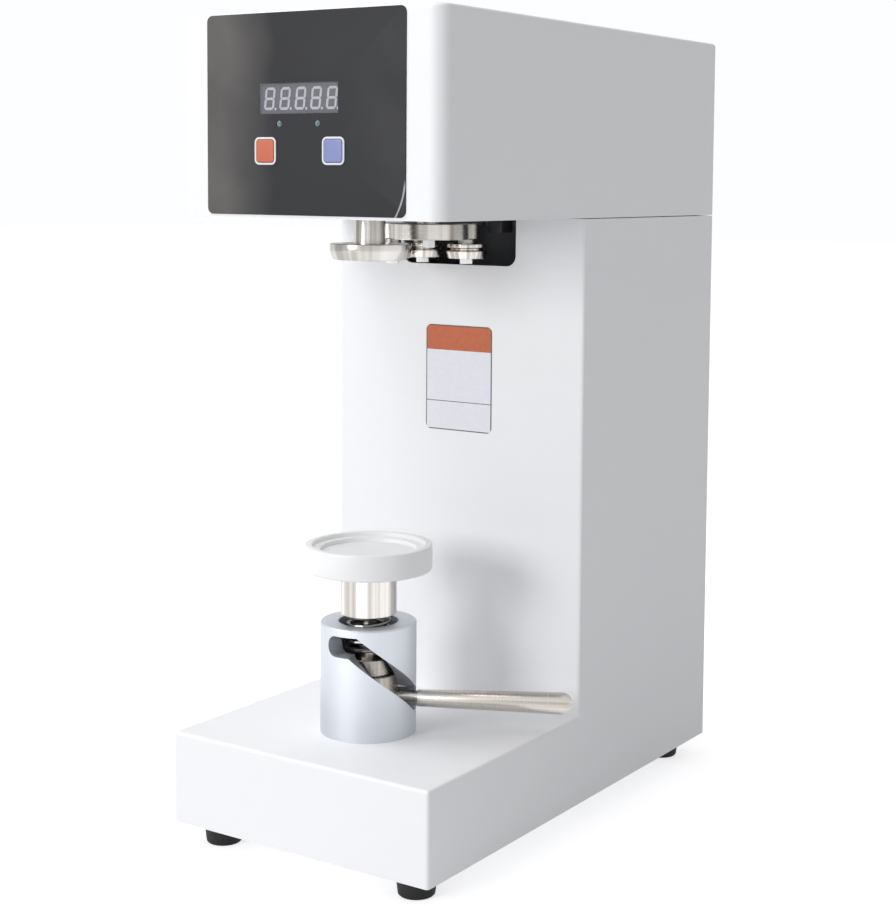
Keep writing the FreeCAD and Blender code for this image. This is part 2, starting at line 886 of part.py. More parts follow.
def spindle_shaft():
    """Stepped steel spindle, with a spigot for the chuck below and a thread above."""
    journal = bearing_bore - running
    shaft = turned(lift, [
        (0.0, chuck_top_z - chuck_spigot_depth),
        (spigot_radius, chuck_top_z - chuck_spigot_depth),
        (spigot_radius, chuck_top_z),
        (spindle_radius, chuck_top_z),
        (spindle_radius, lower_bearing_z[0]),
        (journal, lower_bearing_z[0]),
        (journal, upper_bearing_z[1]),
        (pulley_seat_radius, upper_bearing_z[1]),
        (pulley_seat_radius, pulley_z[1]),
        (spigot_radius, pulley_z[1]),
        (spigot_radius, pulley_z[1] + spindle_nut_height + 1.5),
        (0.0, pulley_z[1] + spindle_nut_height + 1.5),
    ])
    return shaft.cut(rod(lift, (chuck_face_z, chuck_screw_seat_z + chuck_screw_length), m8[0] + running))


def seaming_chuck():
    """Hardened chuck that fills the can end, with a tapered skirt and a recess for its screw."""
    band = 0.5
    spigot_z = chuck_top_z - chuck_spigot_depth
    return turned(lift, [
        (chuck_recess_radius, chuck_face_z),
        (chuck_face_radius - band, chuck_face_z),
        (chuck_face_radius, chuck_face_z + band),
        (chuck_radius, chuck_face_z + chuck_taper_height),
        (chuck_radius, chuck_top_z - band),
        (chuck_radius - band, chuck_top_z),
        (spigot_radius + running, chuck_top_z),
        (spigot_radius + running, spigot_z),
        (m8[0] + 0.2, spigot_z),
        (m8[0] + 0.2, chuck_screw_seat_z),
        (chuck_recess_radius, chuck_screw_seat_z),
    ])


def chuck_screw():
    """Screw that holds the chuck on the spindle."""
    seat = Vector(lift[0], lift[1], chuck_screw_seat_z)
    return screw(m8, seat, UP, chuck_screw_length, "socket")


def groove_half(radius, pitch_radius, gap):
    """Half the width of the vee at a radius, with the belt's sides cleared by the gap."""
    below = pitch_radius + belt_crown - radius
    return belt_width / 2 - below * math.tan(math.radians(belt_half_angle)) + gap


def pulley(centre, pitch_radius, bore, hub_z):
    """Turned vee pulley; its hub runs down to the given level."""
    rim = pitch_radius + pulley_rim
    root = pitch_radius - pulley_root
    hub = bore + 5.0
    return turned(centre, [
        (bore + running, hub_z),
        (hub, hub_z),
        (hub, pulley_z[0]),
        (rim, pulley_z[0]),
        (rim, belt_z - groove_half(rim, pitch_radius, air)),
        (root, belt_z - groove_half(root, pitch_radius, air)),
        (root, belt_z + groove_half(root, pitch_radius, air)),
        (rim, belt_z + groove_half(rim, pitch_radius, air)),
        (rim, pulley_z[1]),
        (bore + running, pulley_z[1]),
    ])


def spindle_pulley():
    """Large pulley on the spindle."""
    return pulley(lift, spindle_pitch_radius, pulley_seat_radius, upper_bearing_z[1])


def spindle_nut():
    """Hexagon nut that clamps the pulley and the bearings."""
    z = (pulley_z[1], pulley_z[1] + spindle_nut_height)
    nut = hexagon(spindle_nut_radius, z)
    nut.translate(Vector(lift[0], lift[1], 0))
    return nut.cut(rod(lift, grown(z, 1), spigot_radius + running))


def belt_section(pitch_radius):
    """Corners of the belt's vee section where it leaves the spindle pulley, as (radius, level)."""
    outer = pitch_radius + belt_crown
    inner = outer - belt_height
    half_inner = groove_half(inner, pitch_radius, 0)
    half_outer = belt_width / 2
    return [
        (inner, belt_z - half_inner), (outer, belt_z - half_outer),
        (outer, belt_z + half_outer), (inner, belt_z + half_inner),
    ]


def drive_belt():
    """Vee belt round the two pulleys: two straight runs and two arcs."""
    lean = math.asin((spindle_pitch_radius - motor_pitch_radius) / (motor[1] - lift[1]))
    right = []
    left = []
    for centre, radius in ((lift, spindle_pitch_radius), (motor, motor_pitch_radius)):
        x = radius * math.cos(lean)
        y = centre[1] + radius * math.sin(lean)
        right.append(Vector(x, y, belt_z))
        left.append(Vector(-x, y, belt_z))
    front = Vector(0, lift[1] - spindle_pitch_radius, belt_z)
    back = Vector(0, motor[1] + motor_pitch_radius, belt_z)
    path = Part.Wire([
        Part.LineSegment(right[0], right[1]).toShape(),
        Part.Arc(right[1], back, left[1]).toShape(),
        Part.LineSegment(left[1], left[0]).toShape(),
        Part.Arc(left[0], front, right[0]).toShape(),
    ])
    outward = Vector(math.cos(lean), math.sin(lean), 0)
    corners = []
    for radius, level in belt_section(spindle_pitch_radius):
        corners.append(Vector(lift[0], lift[1], level) + outward * radius)
    section = Part.makePolygon(corners + corners[:1])
    return path.makePipeShell([section], True, True)


def drive_motor():
    """Induction motor hung under the main plate by its square flange, with its terminal box."""
    flange_z = (head_z - motor_flange_thickness, head_z)
    body_z = (flange_z[0] - motor_length, flange_z[0])
    flange_x = across(motor[0], motor_flange)
    flange_y = across(motor[1], motor_flange)
    flange = rounded_block(flange_x, flange_y, flange_z, motor_flange_corner, UP)
    body = rod(motor, body_z, motor_radius)
    band = rod(motor, grown(body_z, -motor_band_inset), motor_radius + motor_band_height)
    box_back = motor[1] + motor_radius + terminal_box[1] - 20.0
    box = block(
        across(motor[0], terminal_box[0]),
        (box_back - terminal_box[1], box_back),
        across(head_z - terminal_box_drop, terminal_box[2]),
    )
    stator = joined([flange, body, band, box])
    holes = [rod(motor, (head_z - motor_shaft_depth, head_z + 1), motor_shaft_radius + running)]
    for x, y in motor_bolt_places:
        holes.append(screw_hole(m6, Vector(x, y, plate_top_z), DOWN, plate_bolt_length))
    return stator.cut(holes)


def motor_shaft():
    """Motor shaft, up through the main plate to its pulley."""
    return rod(motor, (head_z - motor_shaft_depth + air, pulley_z[1] + 2.0), motor_shaft_radius)


def motor_pulley():
    """Small pulley on the motor shaft."""
    return pulley(motor, motor_pitch_radius, motor_shaft_radius, pulley_z[0] - 6.0)


# ---- Roller turret.
turret_housing_radius = turret_bearing_outer + turret_housing_wall
turret_top_z = head_z - turret_gap
turret_z = (turret_top_z - turret_thickness, turret_top_z)
turret_lower_bearing_z = (head_z + 2.0, head_z + 2.0 + turret_bearing_width)
turret_upper_bearing_z = (
    turret_lower_bearing_z[1] + turret_bearing_span,
    turret_lower_bearing_z[1] + turret_bearing_span + turret_bearing_width,
)
gearmotor_z = turret_upper_bearing_z[1] + 2.0
turret_screw_angles = (90.0, 210.0, 330.0)
bracket_x = (bracket_left_x, sensor_right_x + 3.0)
bracket_y = across(column_y + sheet, sensor_depth)
bracket_z = (head_z - bracket_thickness, head_z)
bracket_screw_point = Vector(bracket_screw_x, sum(bracket_y) / 2, bracket_z[0])
sensor_x = (sensor_right_x - sensor_width, sensor_right_x)
sensor_z = (bracket_z[0] - sensor_height, bracket_z[0])
sensor_stud_places = grown(bracket_y, -sensor_stud_inset)
turret_screw_circle = turret_flange_radius - m5[1] - 0.1
turret_screw_z = plate_top_z + turret_flange_thickness
turret_screw_points = around(turret, turret_screw_circle, turret_screw_angles, turret_screw_z)
roller_places = [
    (point.x, point.y) for point in around(turret, roller_pitch_radius, roller_angles, 0)
]
roller_z = (head_z - roller_drop - roller_height, head_z - roller_drop)


def turret_housing():
    """Flanged housing that holds the turret bearings and carries the gearmotor."""
    shoulder = turret_bearing_outer - 2.0
    flange_z = (plate_top_z, plate_top_z + turret_flange_thickness)
    housing = turned(turret, [
        (shoulder, head_z),
        (turret_housing_radius, head_z),
        (turret_housing_radius, flange_z[0]),
        (turret_flange_radius, flange_z[0]),
        (turret_flange_radius, flange_z[1]),
        (turret_housing_radius, flange_z[1]),
        (turret_housing_radius, gearmotor_z),
        (turret_bearing_outer, gearmotor_z),
        (turret_bearing_outer, turret_lower_bearing_z[0]),
        (shoulder, turret_lower_bearing_z[0]),
    ])
    holes = [screw_hole(m5, point, DOWN, housing_screw_length) for point in turret_screw_points]
    return housing.cut(holes)


def housing_screws():
    """The like socket screws that hold both bearing housings and the sensor bracket to the plate."""
    points = spindle_screw_points + turret_screw_points
    screws = [screw(m5, point, DOWN, housing_screw_length) for point in points]
    screws.append(screw(m5, bracket_screw_point, UP, housing_screw_length))
    return screws


def sensor_bracket():
    """Flat steel tongue under the main plate that the turret's position sensor hangs from."""
    tongue = block(bracket_x, bracket_y, bracket_z)
    tongue = rounded(tongue, bracket_corner_radius, lambda middle, way: abs(way.z) > 0.99)
    holes = [screw_hole(m5, bracket_screw_point, UP, housing_screw_length)]
    for y in sensor_stud_places:
        holes.append(rod((sum(sensor_x) / 2, y), grown(bracket_z, 1), sensor_stud_radius + running))
    return tongue.cut(holes)


def turret_sensor():
    """Small moulded proximity sensor that sees the turret plate's rim, with its two studs."""
    body = block(sensor_x, bracket_y, sensor_z)
    pieces = [rounded(body, sensor_edge_radius, lambda middle, way: middle.z < sensor_z[1] - air)]
    stud_z = (sensor_z[1] - 1, bracket_z[1])
    for y in sensor_stud_places:
        pieces.append(rod((sum(sensor_x) / 2, y), stud_z, sensor_stud_radius))
    return joined(pieces)


def turret_bearings():
    """The two ball bearings of the turret, with the sleeve that spaces their outer rings."""
    spacer_z = (turret_lower_bearing_z[1], turret_upper_bearing_z[0])
    outer = turret_bearing_outer
    pieces = [ring(turret, spacer_z, outer, outer - 2.0)]
    for z in (turret_lower_bearing_z, turret_upper_bearing_z):
        pieces.append(bearing(turret, z, outer, turret_journal_radius))
    return pieces


def turret_gearmotor():
    """Upright gearmotor on the turret housing, between the two runs of the belt."""
    gearbox_z = (gearmotor_z, gearmotor_z + gearbox_length)
    motor_z = (gearbox_z[1], gearmotor_z + gearmotor_length)
    gearbox = rod(turret, gearbox_z, gearmotor_radius)
    can = rod(turret, motor_z, gearmotor_radius - 1.5)
    cap = rod(turret, (motor_z[1], motor_z[1] + 3.0), gearmotor_radius - 9.0)
    solid = joined([gearbox, can, cap])
    bore = rod(turret, (gearmotor_z - 1, gearmotor_z + 12.0), gearmotor_shaft_radius + running)
    return solid.cut(bore)


def gearmotor_shaft():
    """Output shaft of the gearmotor, down into the turret shaft."""
    return rod(turret, (gearmotor_z - 14.0, gearmotor_z + 12.0 - air), gearmotor_shaft_radius)


def turret_shaft():
    """Stepped shaft from the turret plate up through its bearings."""
    journal = turret_journal_radius - running
    shaft = turned(turret, [
        (0.0, turret_z[1]),
        (turret_shaft_radius, turret_z[1]),
        (turret_shaft_radius, turret_lower_bearing_z[0]),
        (journal, turret_lower_bearing_z[0]),
        (journal, turret_upper_bearing_z[1] + 1.0),
        (0.0, turret_upper_bearing_z[1] + 1.0),
    ])
    socket = rod(turret, (gearmotor_z - 14.0 - running, gearmotor_z + 1), gearmotor_shaft_radius + running)
    thread = rod(turret, (turret_z[1] - 1, turret_z[1] + turret_bolt_grip), m6[0] + running)
    return shaft.cut([socket, thread])


def turret_bolt():
    """Bolt up through the turret plate into its shaft."""
    seat = Vector(turret[0], turret[1], turret_z[0])
    return screw(m6, seat, UP, turret_thickness + turret_bolt_grip - air, "hexagon")


def turret_plate():
    """Steel disc with three bosses that hold the roller pins, and a lock-screw hole in each boss."""
    bosses = [rod(place, turret_z, roller_boss_radius) for place in roller_places]
    plate = joined([rod(turret, turret_z, turret_radius)] + bosses)
    rims = [edge for edge in plate.Edges if not near(edge.BoundBox.ZLength, turret_thickness)]
    plate = plate.makeChamfer(turret_edge, rims)
    holes = [rod(turret, grown(turret_z, 1), m6[0] + running)]
    holes += [rod(place, grown(turret_z, 1), roller_pin_radius + running) for place in roller_places]
    middle_z = (turret_z[0] + turret_z[1]) / 2
    reach = roller_pitch_radius + roller_boss_radius
    for start in around(turret, reach + 1, roller_angles, middle_z):
        inward = (Vector(turret[0], turret[1], middle_z) - start).normalize()
        holes.append(Part.makeCylinder(lock_hole_radius, lock_hole_depth, start, inward))
    return plate.cut(holes)


def roller_pins():
    """Shoulder bolts that the rollers turn on, with their heads below."""
    pins = []
    head_top_z = roller_z[0] - air
    for x, y in roller_places:
        size = (roller_pin_radius, roller_head_radius, roller_head_height)
        length = turret_z[1] - head_top_z - 1.5
        pins.append(screw(size, Vector(x, y, head_top_z), UP, length, "hexagon"))
    return pins


def roller_collars():
    """Spacing collars between the turret plate and the rollers."""
    z = (roller_z[1] + air, turret_z[0])
    bore = roller_pin_radius + running
    return [ring(place, z, roller_collar_radius, bore) for place in roller_places]


def seaming_roller(place, groove_depth):
    """Grooved seaming roller: a top ring, the seaming groove and a tapered lower flange."""
    low, high = roller_z
    bore = roller_pin_radius + running
    groove_radius = roller_ring_radius - groove_depth
    return turned(place, [
        (bore, low),
        (roller_tip_radius, low),
        (roller_radius, low + 4.9),
        (roller_radius, low + 5.5),
        (groove_radius, low + 6.3),
        (groove_radius, low + 7.3),
        (roller_ring_radius, low + 8.2),
        (roller_ring_radius, high - 0.6),
        (roller_ring_radius - 0.6, high),
        (bore, high),
    ])


# ---- Hand lift.
sleeve_z = (base_top_z, base_top_z + sleeve_height)
handle_z = base_top_z + slot_low
piston_z = (base_top_z + piston_floor, base_top_z + piston_floor + piston_height)
seat_z = (piston_z[1], piston_z[1] + seat_height)
cup_z = (sleeve_z[1] + cup_gap, sleeve_z[1] + cup_gap + cup_height)
spring_z = (seat_z[1], cup_z[0] + cup_recess_depth)
stem_bottom_z = seat_z[0] - stem_tail
tray_z = (cup_z[1] + tray_gap, cup_z[1] + tray_gap + tray_height)
tray_bearing_z = (cup_z[1] - 1.0 - tray_bearing_width, cup_z[1] - 1.0)
slot_reach = (sleeve_bore - 3.0, sleeve_radius + 3.0)


def radial_rod(angle, level, radius, reach):
    """A cylinder that runs outwards from the lift axis at an angle and a level."""
    turn = math.radians(angle)
    way = Vector(math.cos(turn), math.sin(turn), 0)
    inner, outer = reach
    return Part.makeCylinder(radius, outer - inner, Vector(lift[0], lift[1], level) + way * inner, way)


def slot_band(angles, level):
    """A level stretch of the slot between two angles, as wide as the slot."""
    wedge = sorted(angles)
    inner, outer = slot_reach
    z = across(level, slot_width)
    face = Part.Face(Part.makePolygon([
        Vector(inner, 0, z[0]), Vector(outer, 0, z[0]), Vector(outer, 0, z[1]),
        Vector(inner, 0, z[1]), Vector(inner, 0, z[0]),
    ]))
    band = face.revolve(Vector(0, 0, 0), UP, wedge[1] - wedge[0])
    band.rotate(Vector(0, 0, 0), UP, wedge[0])
    band.translate(Vector(lift[0], lift[1], 0))
    return band


def slot_ramp_solid(overrun):
    """The helical stretch of the slot, run past both its corners by an angle."""
    start = slot_ramp[0] + overrun
    rise_per_degree = (slot_high - slot_low) / (slot_ramp[0] - slot_ramp[1])
    pitch = 360.0 * rise_per_degree
    height = slot_high - slot_low + 2 * overrun * rise_per_degree
    inner, outer = slot_reach
    halves = []
    for radius in slot_reach:
        slope = math.atan(pitch / (2 * math.pi * radius))
        halves.append(slot_width / 2 / math.cos(slope))
    helix = Part.makeHelix(pitch, height, sleeve_radius, 0, True)
    section = Part.makePolygon([
        Vector(inner, 0, -halves[0]), Vector(outer, 0, -halves[1]),
        Vector(outer, 0, halves[1]), Vector(inner, 0, halves[0]), Vector(inner, 0, -halves[0]),
    ])
    sweep = Part.BRepOffsetAPI.MakePipeShell(Part.Wire(helix))
    sweep.setBiNormalMode(UP)
    sweep.add(section)
    sweep.build()
    sweep.makeSolid()
    ramp = sweep.shape()
    ramp.rotate(Vector(0, 0, 0), UP, start)
    ramp.translate(Vector(lift[0], lift[1], base_top_z + slot_low - overrun * rise_per_degree))
    return ramp


def slot_pieces():
    """Every stretch of the cam slot: two level rests with round ends and the ramp that joins them."""
    low = base_top_z + slot_low
    high = base_top_z + slot_high
    levels = (low - slot_width / 2, high + slot_width / 2)
    pieces = [slot_ramp_solid(slot_overrun).common(rod(lift, levels, 2 * sleeve_radius))]
    pieces.append(slot_band((slot_ramp[0], slot_ends[0]), low))
    pieces.append(slot_band((slot_ends[1], slot_ramp[1]), high))
    for angle, level in ((slot_ends[0], low), (slot_ends[1], high)):
        pieces.append(radial_rod(angle, level, slot_width / 2, slot_reach))
    return pieces


def lift_sleeve():
    """Aluminium cam sleeve, bolted to the base, whose slot lifts the handle as it is swung."""
    sleeve = turned(lift, [
        (sleeve_bore, sleeve_z[0]),
        (sleeve_radius, sleeve_z[0]),
        (sleeve_radius, sleeve_z[1] - sleeve_chamfer),
        (sleeve_radius - sleeve_chamfer, sleeve_z[1]),
        (sleeve_bore + sleeve_chamfer / 2, sleeve_z[1]),
        (sleeve_bore, sleeve_z[1] - sleeve_chamfer / 2),
    ])
    holes = [screw_hole(m6, point, UP, sleeve_bolt_length) for point in sleeve_bolt_points]
    sleeve = sleeve.cut(holes)
    for piece in slot_pieces():
        sleeve = sleeve.cut(piece)
    return sleeve


def sleeve_bolts():
    """Screws up through the bridge and the base top into the sleeve."""
    length = sleeve_bolt_length - air
    return [screw(m6, point, UP, length) for point in sleeve_bolt_points]


def lift_piston():
    """Steel piston that slides and turns in the sleeve and holds the handle's thread."""
    radius = sleeve_bore - running
    piston = turned(lift, [
        (0.0, piston_z[0]),
        (radius - 1.0, piston_z[0]),
        (radius, piston_z[0] + 1.0),
        (radius, piston_z[1] - 0.5),
        (radius - 0.5, piston_z[1]),
        (piston_recess_radius, piston_z[1]),
        (piston_recess_radius, piston_z[1] - piston_recess_depth),
        (0.0, piston_z[1] - piston_recess_depth),
    ])
    reach = (handle_stud_inner, sleeve_radius)
    return piston.cut(radial_rod(handle_angle, handle_z, handle_stud_radius + running, reach))


def handle_bar():
    """Turned steel lever: a threaded stud, a small shoulder and a bar that swells to a domed tip."""
    shoulder = sleeve_radius + handle_shoulder
    points = [
        Vector(0, 0, handle_stud_inner + running),
        Vector(handle_stud_radius, 0, handle_stud_inner + running),
        Vector(handle_stud_radius, 0, shoulder),
        Vector(handle_root_radius - 0.5, 0, shoulder),
        Vector(handle_root_radius, 0, shoulder + 0.8),
        Vector(handle_tip_radius, 0, handle_reach - handle_tip_radius),
    ]
    edges = [Part.makePolygon(points)]
    tip = Vector(0, 0, handle_reach)
    diagonal = handle_tip_radius * math.sqrt(0.5)
    bulge = Vector(diagonal, 0, handle_reach - handle_tip_radius + diagonal)
    edges.append(Part.Wire([Part.Arc(points[-1], bulge, tip).toShape()]))
    edges.append(Part.makePolygon([tip, points[0]]))
    outline = Part.Wire([edge for wire in edges for edge in wire.Edges])
    bar = Part.Face(outline).revolve(Vector(0, 0, 0), UP, 360)
    bar.rotate(Vector(0, 0, 0), ALONG_Y, 90)
    bar.rotate(Vector(0, 0, 0), UP, handle_angle)
    bar.translate(Vector(lift[0], lift[1], handle_z))
    return bar


def spring_seat():
    """Flanged seat on top of the piston; its tube guides the spring and the cup's stem."""
    bore = stem_radius + running
    return turned(lift, [
        (bore, seat_z[0]),
        (seat_radius - 0.6, seat_z[0]),
        (seat_radius, seat_z[0] + 0.6),
        (seat_radius, seat_z[1] - 0.6),
        (seat_radius - 0.6, seat_z[1]),
        (seat_guide_radius, seat_z[1]),
        (seat_guide_radius, seat_z[1] + seat_guide_height),
        (bore, seat_z[1] + seat_guide_height),
    ])


def lift_spring():
    """Compression spring between the seat and the cup, which gives the seaming force."""
    wire_z = grown(spring_z, -spring_wire)
    steps = round(spring_turns * spring_facets)
    points = []
    for step in range(steps + 1):
        turn = 2 * math.pi * step / spring_facets
        level = wire_z[0] + (wire_z[1] - wire_z[0]) * step / steps
        points.append(Vector(spring_radius * math.cos(turn), spring_radius * math.sin(turn), level))
    outward = Vector(1, 0, 0)
    sideways = (points[1] - points[0]).cross(outward).normalize()
    corners = []
    for step in range(spring_sides + 1):
        turn = 2 * math.pi * step / spring_sides
        reach = outward * math.cos(turn) + sideways * math.sin(turn)
        corners.append(points[0] + reach * spring_wire)
    section = Part.makePolygon(corners)
    spring = Part.makePolygon(points).makePipeShell([section], True, False, 1)
    spring.translate(Vector(lift[0], lift[1], 0))
    return spring


def lift_cup():
    """Steel post under the tray: a spring recess below, a bearing seat above and a long stem."""
    pocket = tray_bearing_outer + running
    return turned(lift, [
        (0.0, stem_bottom_z),
        (stem_radius, stem_bottom_z),
        (stem_radius, seat_z[0] - stem_clip_thickness - running),
        (stem_radius - 0.8, seat_z[0] - stem_clip_thickness - running),
        (stem_radius - 0.8, seat_z[0]),
        (stem_radius, seat_z[0]),
        (stem_radius, spring_z[1]),
        (cup_recess_radius, spring_z[1]),
        (cup_recess_radius, cup_z[0]),
        (cup_radius - 0.4, cup_z[0]),
        (cup_radius, cup_z[0] + 0.4),
        (cup_radius, cup_z[1] - 0.4),
        (cup_radius - 0.4, cup_z[1]),
        (pocket, cup_z[1]),
        (pocket, tray_bearing_z[0]),
        (pocket - 3.0, tray_bearing_z[0]),
        (pocket - 3.0, tray_bearing_z[0] - 1.0),
        (0.0, tray_bearing_z[0] - 1.0),
    ])


def stem_clip():
    """Snap ring at the foot of the stem, held up against the spring seat."""
    z = (seat_z[0] - stem_clip_thickness, seat_z[0])
    clip = ring(lift, z, stem_clip_radius, stem_radius - 0.8 + running)
    return clip.cut(block((-1.5, 1.5), (lift_y, lift_y + stem_clip_radius + 1), grown(z, 1)))


def tray_bearing():
    """Ball bearing that lets the tray spin on the cup."""
    return bearing(lift, tray_bearing_z, tray_bearing_outer, tray_bearing_bore)


def can_tray():
    """White plastic tray with a stepped recess that centres the can, turning on its stub."""
    low, high = tray_z
    stub = tray_bearing_bore - running
    shoulder = tray_bearing_bore + 2.5
    floor = high - tray_seat_depth
    return turned(lift, [
        (0.0, tray_bearing_z[0] + 1.0),
        (stub, tray_bearing_z[0] + 1.0),
        (stub, tray_bearing_z[1]),
        (shoulder, tray_bearing_z[1]),
        (shoulder, low),
        (tray_radius - tray_edge, low),
        (tray_radius, low + tray_edge),
        (tray_radius, high - tray_edge / 2),
        (tray_radius - tray_edge / 2, high),
        (tray_step_radius, high),
        (tray_step_radius, high - tray_step_depth),
        (tray_seat_radius, high - tray_step_depth),
        (tray_seat_radius, floor),
        (0.0, floor),
    ])


# ---- Back panel pieces and power supply.
socket_z = base_top_z + inlet_rise


def power_inlet():
    """Moulded mains inlet: a flange outside the panel, a socket behind it and three pins."""
    flange = rounded_block(
        across(inlet_offset, inlet_flange[0]),
        (back_y, back_y + inlet_flange_thickness),
        across(socket_z, inlet_flange[1]),
        3.0,
        ALONG_Y,
    )
    body = block(
        grown(inlet_x, -running),
        (back_y - inlet_depth, back_y),
        grown(inlet_z, -running),
    )
    mouth = rounded_block(
        across(inlet_offset, inlet_mouth[0]),
        (back_y - inlet_depth + inlet_wall, back_y + inlet_flange_thickness + 1),
        across(socket_z, inlet_mouth[1]),
        2.0,
        ALONG_Y,
    )
    pins = []
    for x, z in ((-inlet_pin_spacing, -2.0), (0.0, 2.0), (inlet_pin_spacing, -2.0)):
        pins.append(
            block(
                across(inlet_offset + x, inlet_pin[0]),
                (back_y - inlet_depth + inlet_wall / 2, back_y + inlet_flange_thickness - inlet_pin_setback),
                across(socket_z + z, inlet_pin[1]),
            )
        )
    return joined([joined([flange, body]).cut(mouth)] + pins)


rocker_axis_y = back_y + switch_bezel_thickness - rocker_sink


def power_switch():
    """Housing of the rocker switch, with a round trough that the rocker turns in."""
    bezel = rounded_block(
        across(switch_offset, switch_bezel[0]),
        (back_y, back_y + switch_bezel_thickness),
        across(socket_z, switch_bezel[1]),
        2.0,
        ALONG_Y,
    )
    body = block(
        grown(switch_x, -running),
        (back_y - switch_depth, back_y),
        grown(switch_z, -running),
    )
    trough_x = across(switch_offset, rocker_width + 2 * air)
    trough = Part.makeCylinder(
        rocker_radius + air, trough_x[1] - trough_x[0], Vector(trough_x[0], rocker_axis_y, socket_z), ALONG_X
    )
    return joined([bezel, body]).cut(trough)


def power_rocker():
    """Dished rocker, tilted to its off side."""
    x = across(switch_offset, rocker_width)
    drum = Part.makeCylinder(rocker_radius, rocker_width, Vector(x[0], 0, 0), ALONG_X)
    crest = rocker_sink + 0.5
    edge = crest + rocker_dish * 2 * rocker_radius
    corners = [(crest, 0.0), (edge, -2 * rocker_radius), (4 * rocker_radius, 0.0), (edge, 2 * rocker_radius)]
    points = [Vector(x[0] - 1, out, level) for out, level in corners]
    dish = Part.Face(Part.makePolygon(points + points[:1])).extrude(Vector(rocker_width + 2, 0, 0))
    rocker = drum.cut(dish)
    rocker.rotate(Vector(0, 0, 0), ALONG_X, -rocker_swing / 2)
    rocker.translate(Vector(0, rocker_axis_y, socket_z))
    return rocker


def power_supply():
    """Vented power supply on the base plate, under the motor."""
    x = across(0.0, supply_size[0])
    y = (back_y - supply_back_inset - supply_size[1], back_y - supply_back_inset)
    z = (floor_z, floor_z + supply_size[2])
    box = rounded_block(x, y, z, 2.0, UP)
    side_margin, end_margin = supply_rib_margin
    ribs = []
    for step in range(supply_rib_count):
        start = y[0] + end_margin + supply_rib_pitch * step
        rib_y = (start, start + supply_rib_width)
        ribs.append(block(grown(x, -side_margin), rib_y, (z[1] - supply_rib_depth, z[1] + 1)))
    return box.cut(ribs)


nodes = {
    "body_shell": body_shell,
    "base_plate": base_plate,
    "rear_cover": rear_cover,
    "cover_screws": cover_screws,
    "head_cover": head_cover,
    "main_plate": main_plate,
    "column_posts": column_posts,
    "frame_bolts": frame_bolts,
    "lift_bridge": lift_bridge,
    "rubber_feet": rubber_feet,
    "foot_screws": foot_screws,
    "control_overlay": control_overlay,
    "display_window": display_window,
    "counter_display": counter_display,
    "indicator_lamps": indicator_lamps,
    "stop_button": lambda: key(stop_key_x),
    "start_button": lambda: key(start_key_x),
    "control_board": control_board,
    "board_standoffs": board_standoffs,
    "spindle_housing": spindle_housing,
    "spindle_bearings": spindle_bearings,
    "spindle_clip": spindle_clip,
    "spindle_shaft": spindle_shaft,
    "seaming_chuck": seaming_chuck,
    "chuck_screw": chuck_screw,
    "spindle_pulley": spindle_pulley,
    "spindle_nut": spindle_nut,
    "drive_belt": drive_belt,
    "drive_motor": drive_motor,
    "motor_shaft": motor_shaft,
    "motor_pulley": motor_pulley,
    "turret_housing": turret_housing,
    "housing_screws": housing_screws,
    "sensor_bracket": sensor_bracket,
    "turret_sensor": turret_sensor,
    "turret_bearings": turret_bearings,
    "turret_gearmotor": turret_gearmotor,
    "gearmotor_shaft": gearmotor_shaft,
    "turret_shaft": turret_shaft,
    "turret_bolt": turret_bolt,
    "turret_plate": turret_plate,
    "roller_pins": roller_pins,
    "roller_collars": roller_collars,
    "lift_sleeve": lift_sleeve,
    "sleeve_bolts": sleeve_bolts,
    "lift_piston": lift_piston,
    "handle_bar": handle_bar,
    "spring_seat": spring_seat,
    "lift_spring": lift_spring,
    "lift_cup": lift_cup,
    "stem_clip": stem_clip,
    "tray_bearing": tray_bearing,
    "can_tray": can_tray,
    "power_inlet": power_inlet,
    "power_switch": power_switch,
    "power_rocker": power_rocker,
    "power_supply": power_supply,
}
for number, (place, groove_depth) in enumerate(zip(roller_places, roller_groove_depths), start=1):
    nodes["seaming_roller_%d" % number] = lambda p=place, d=groove_depth: seaming_roller(p, d)

for name, make in nodes.items():
    shape = make()
    if isinstance(shape, list):
        shape = Part.makeCompound(shape)
    shape.exportStep("parts/" + name + ".step")
    print(name, len(shape.Solids), round(shape.Volume), shape.isValid())
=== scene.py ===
import math

import bmesh
import bpy
from mathutils import Matrix, Vector


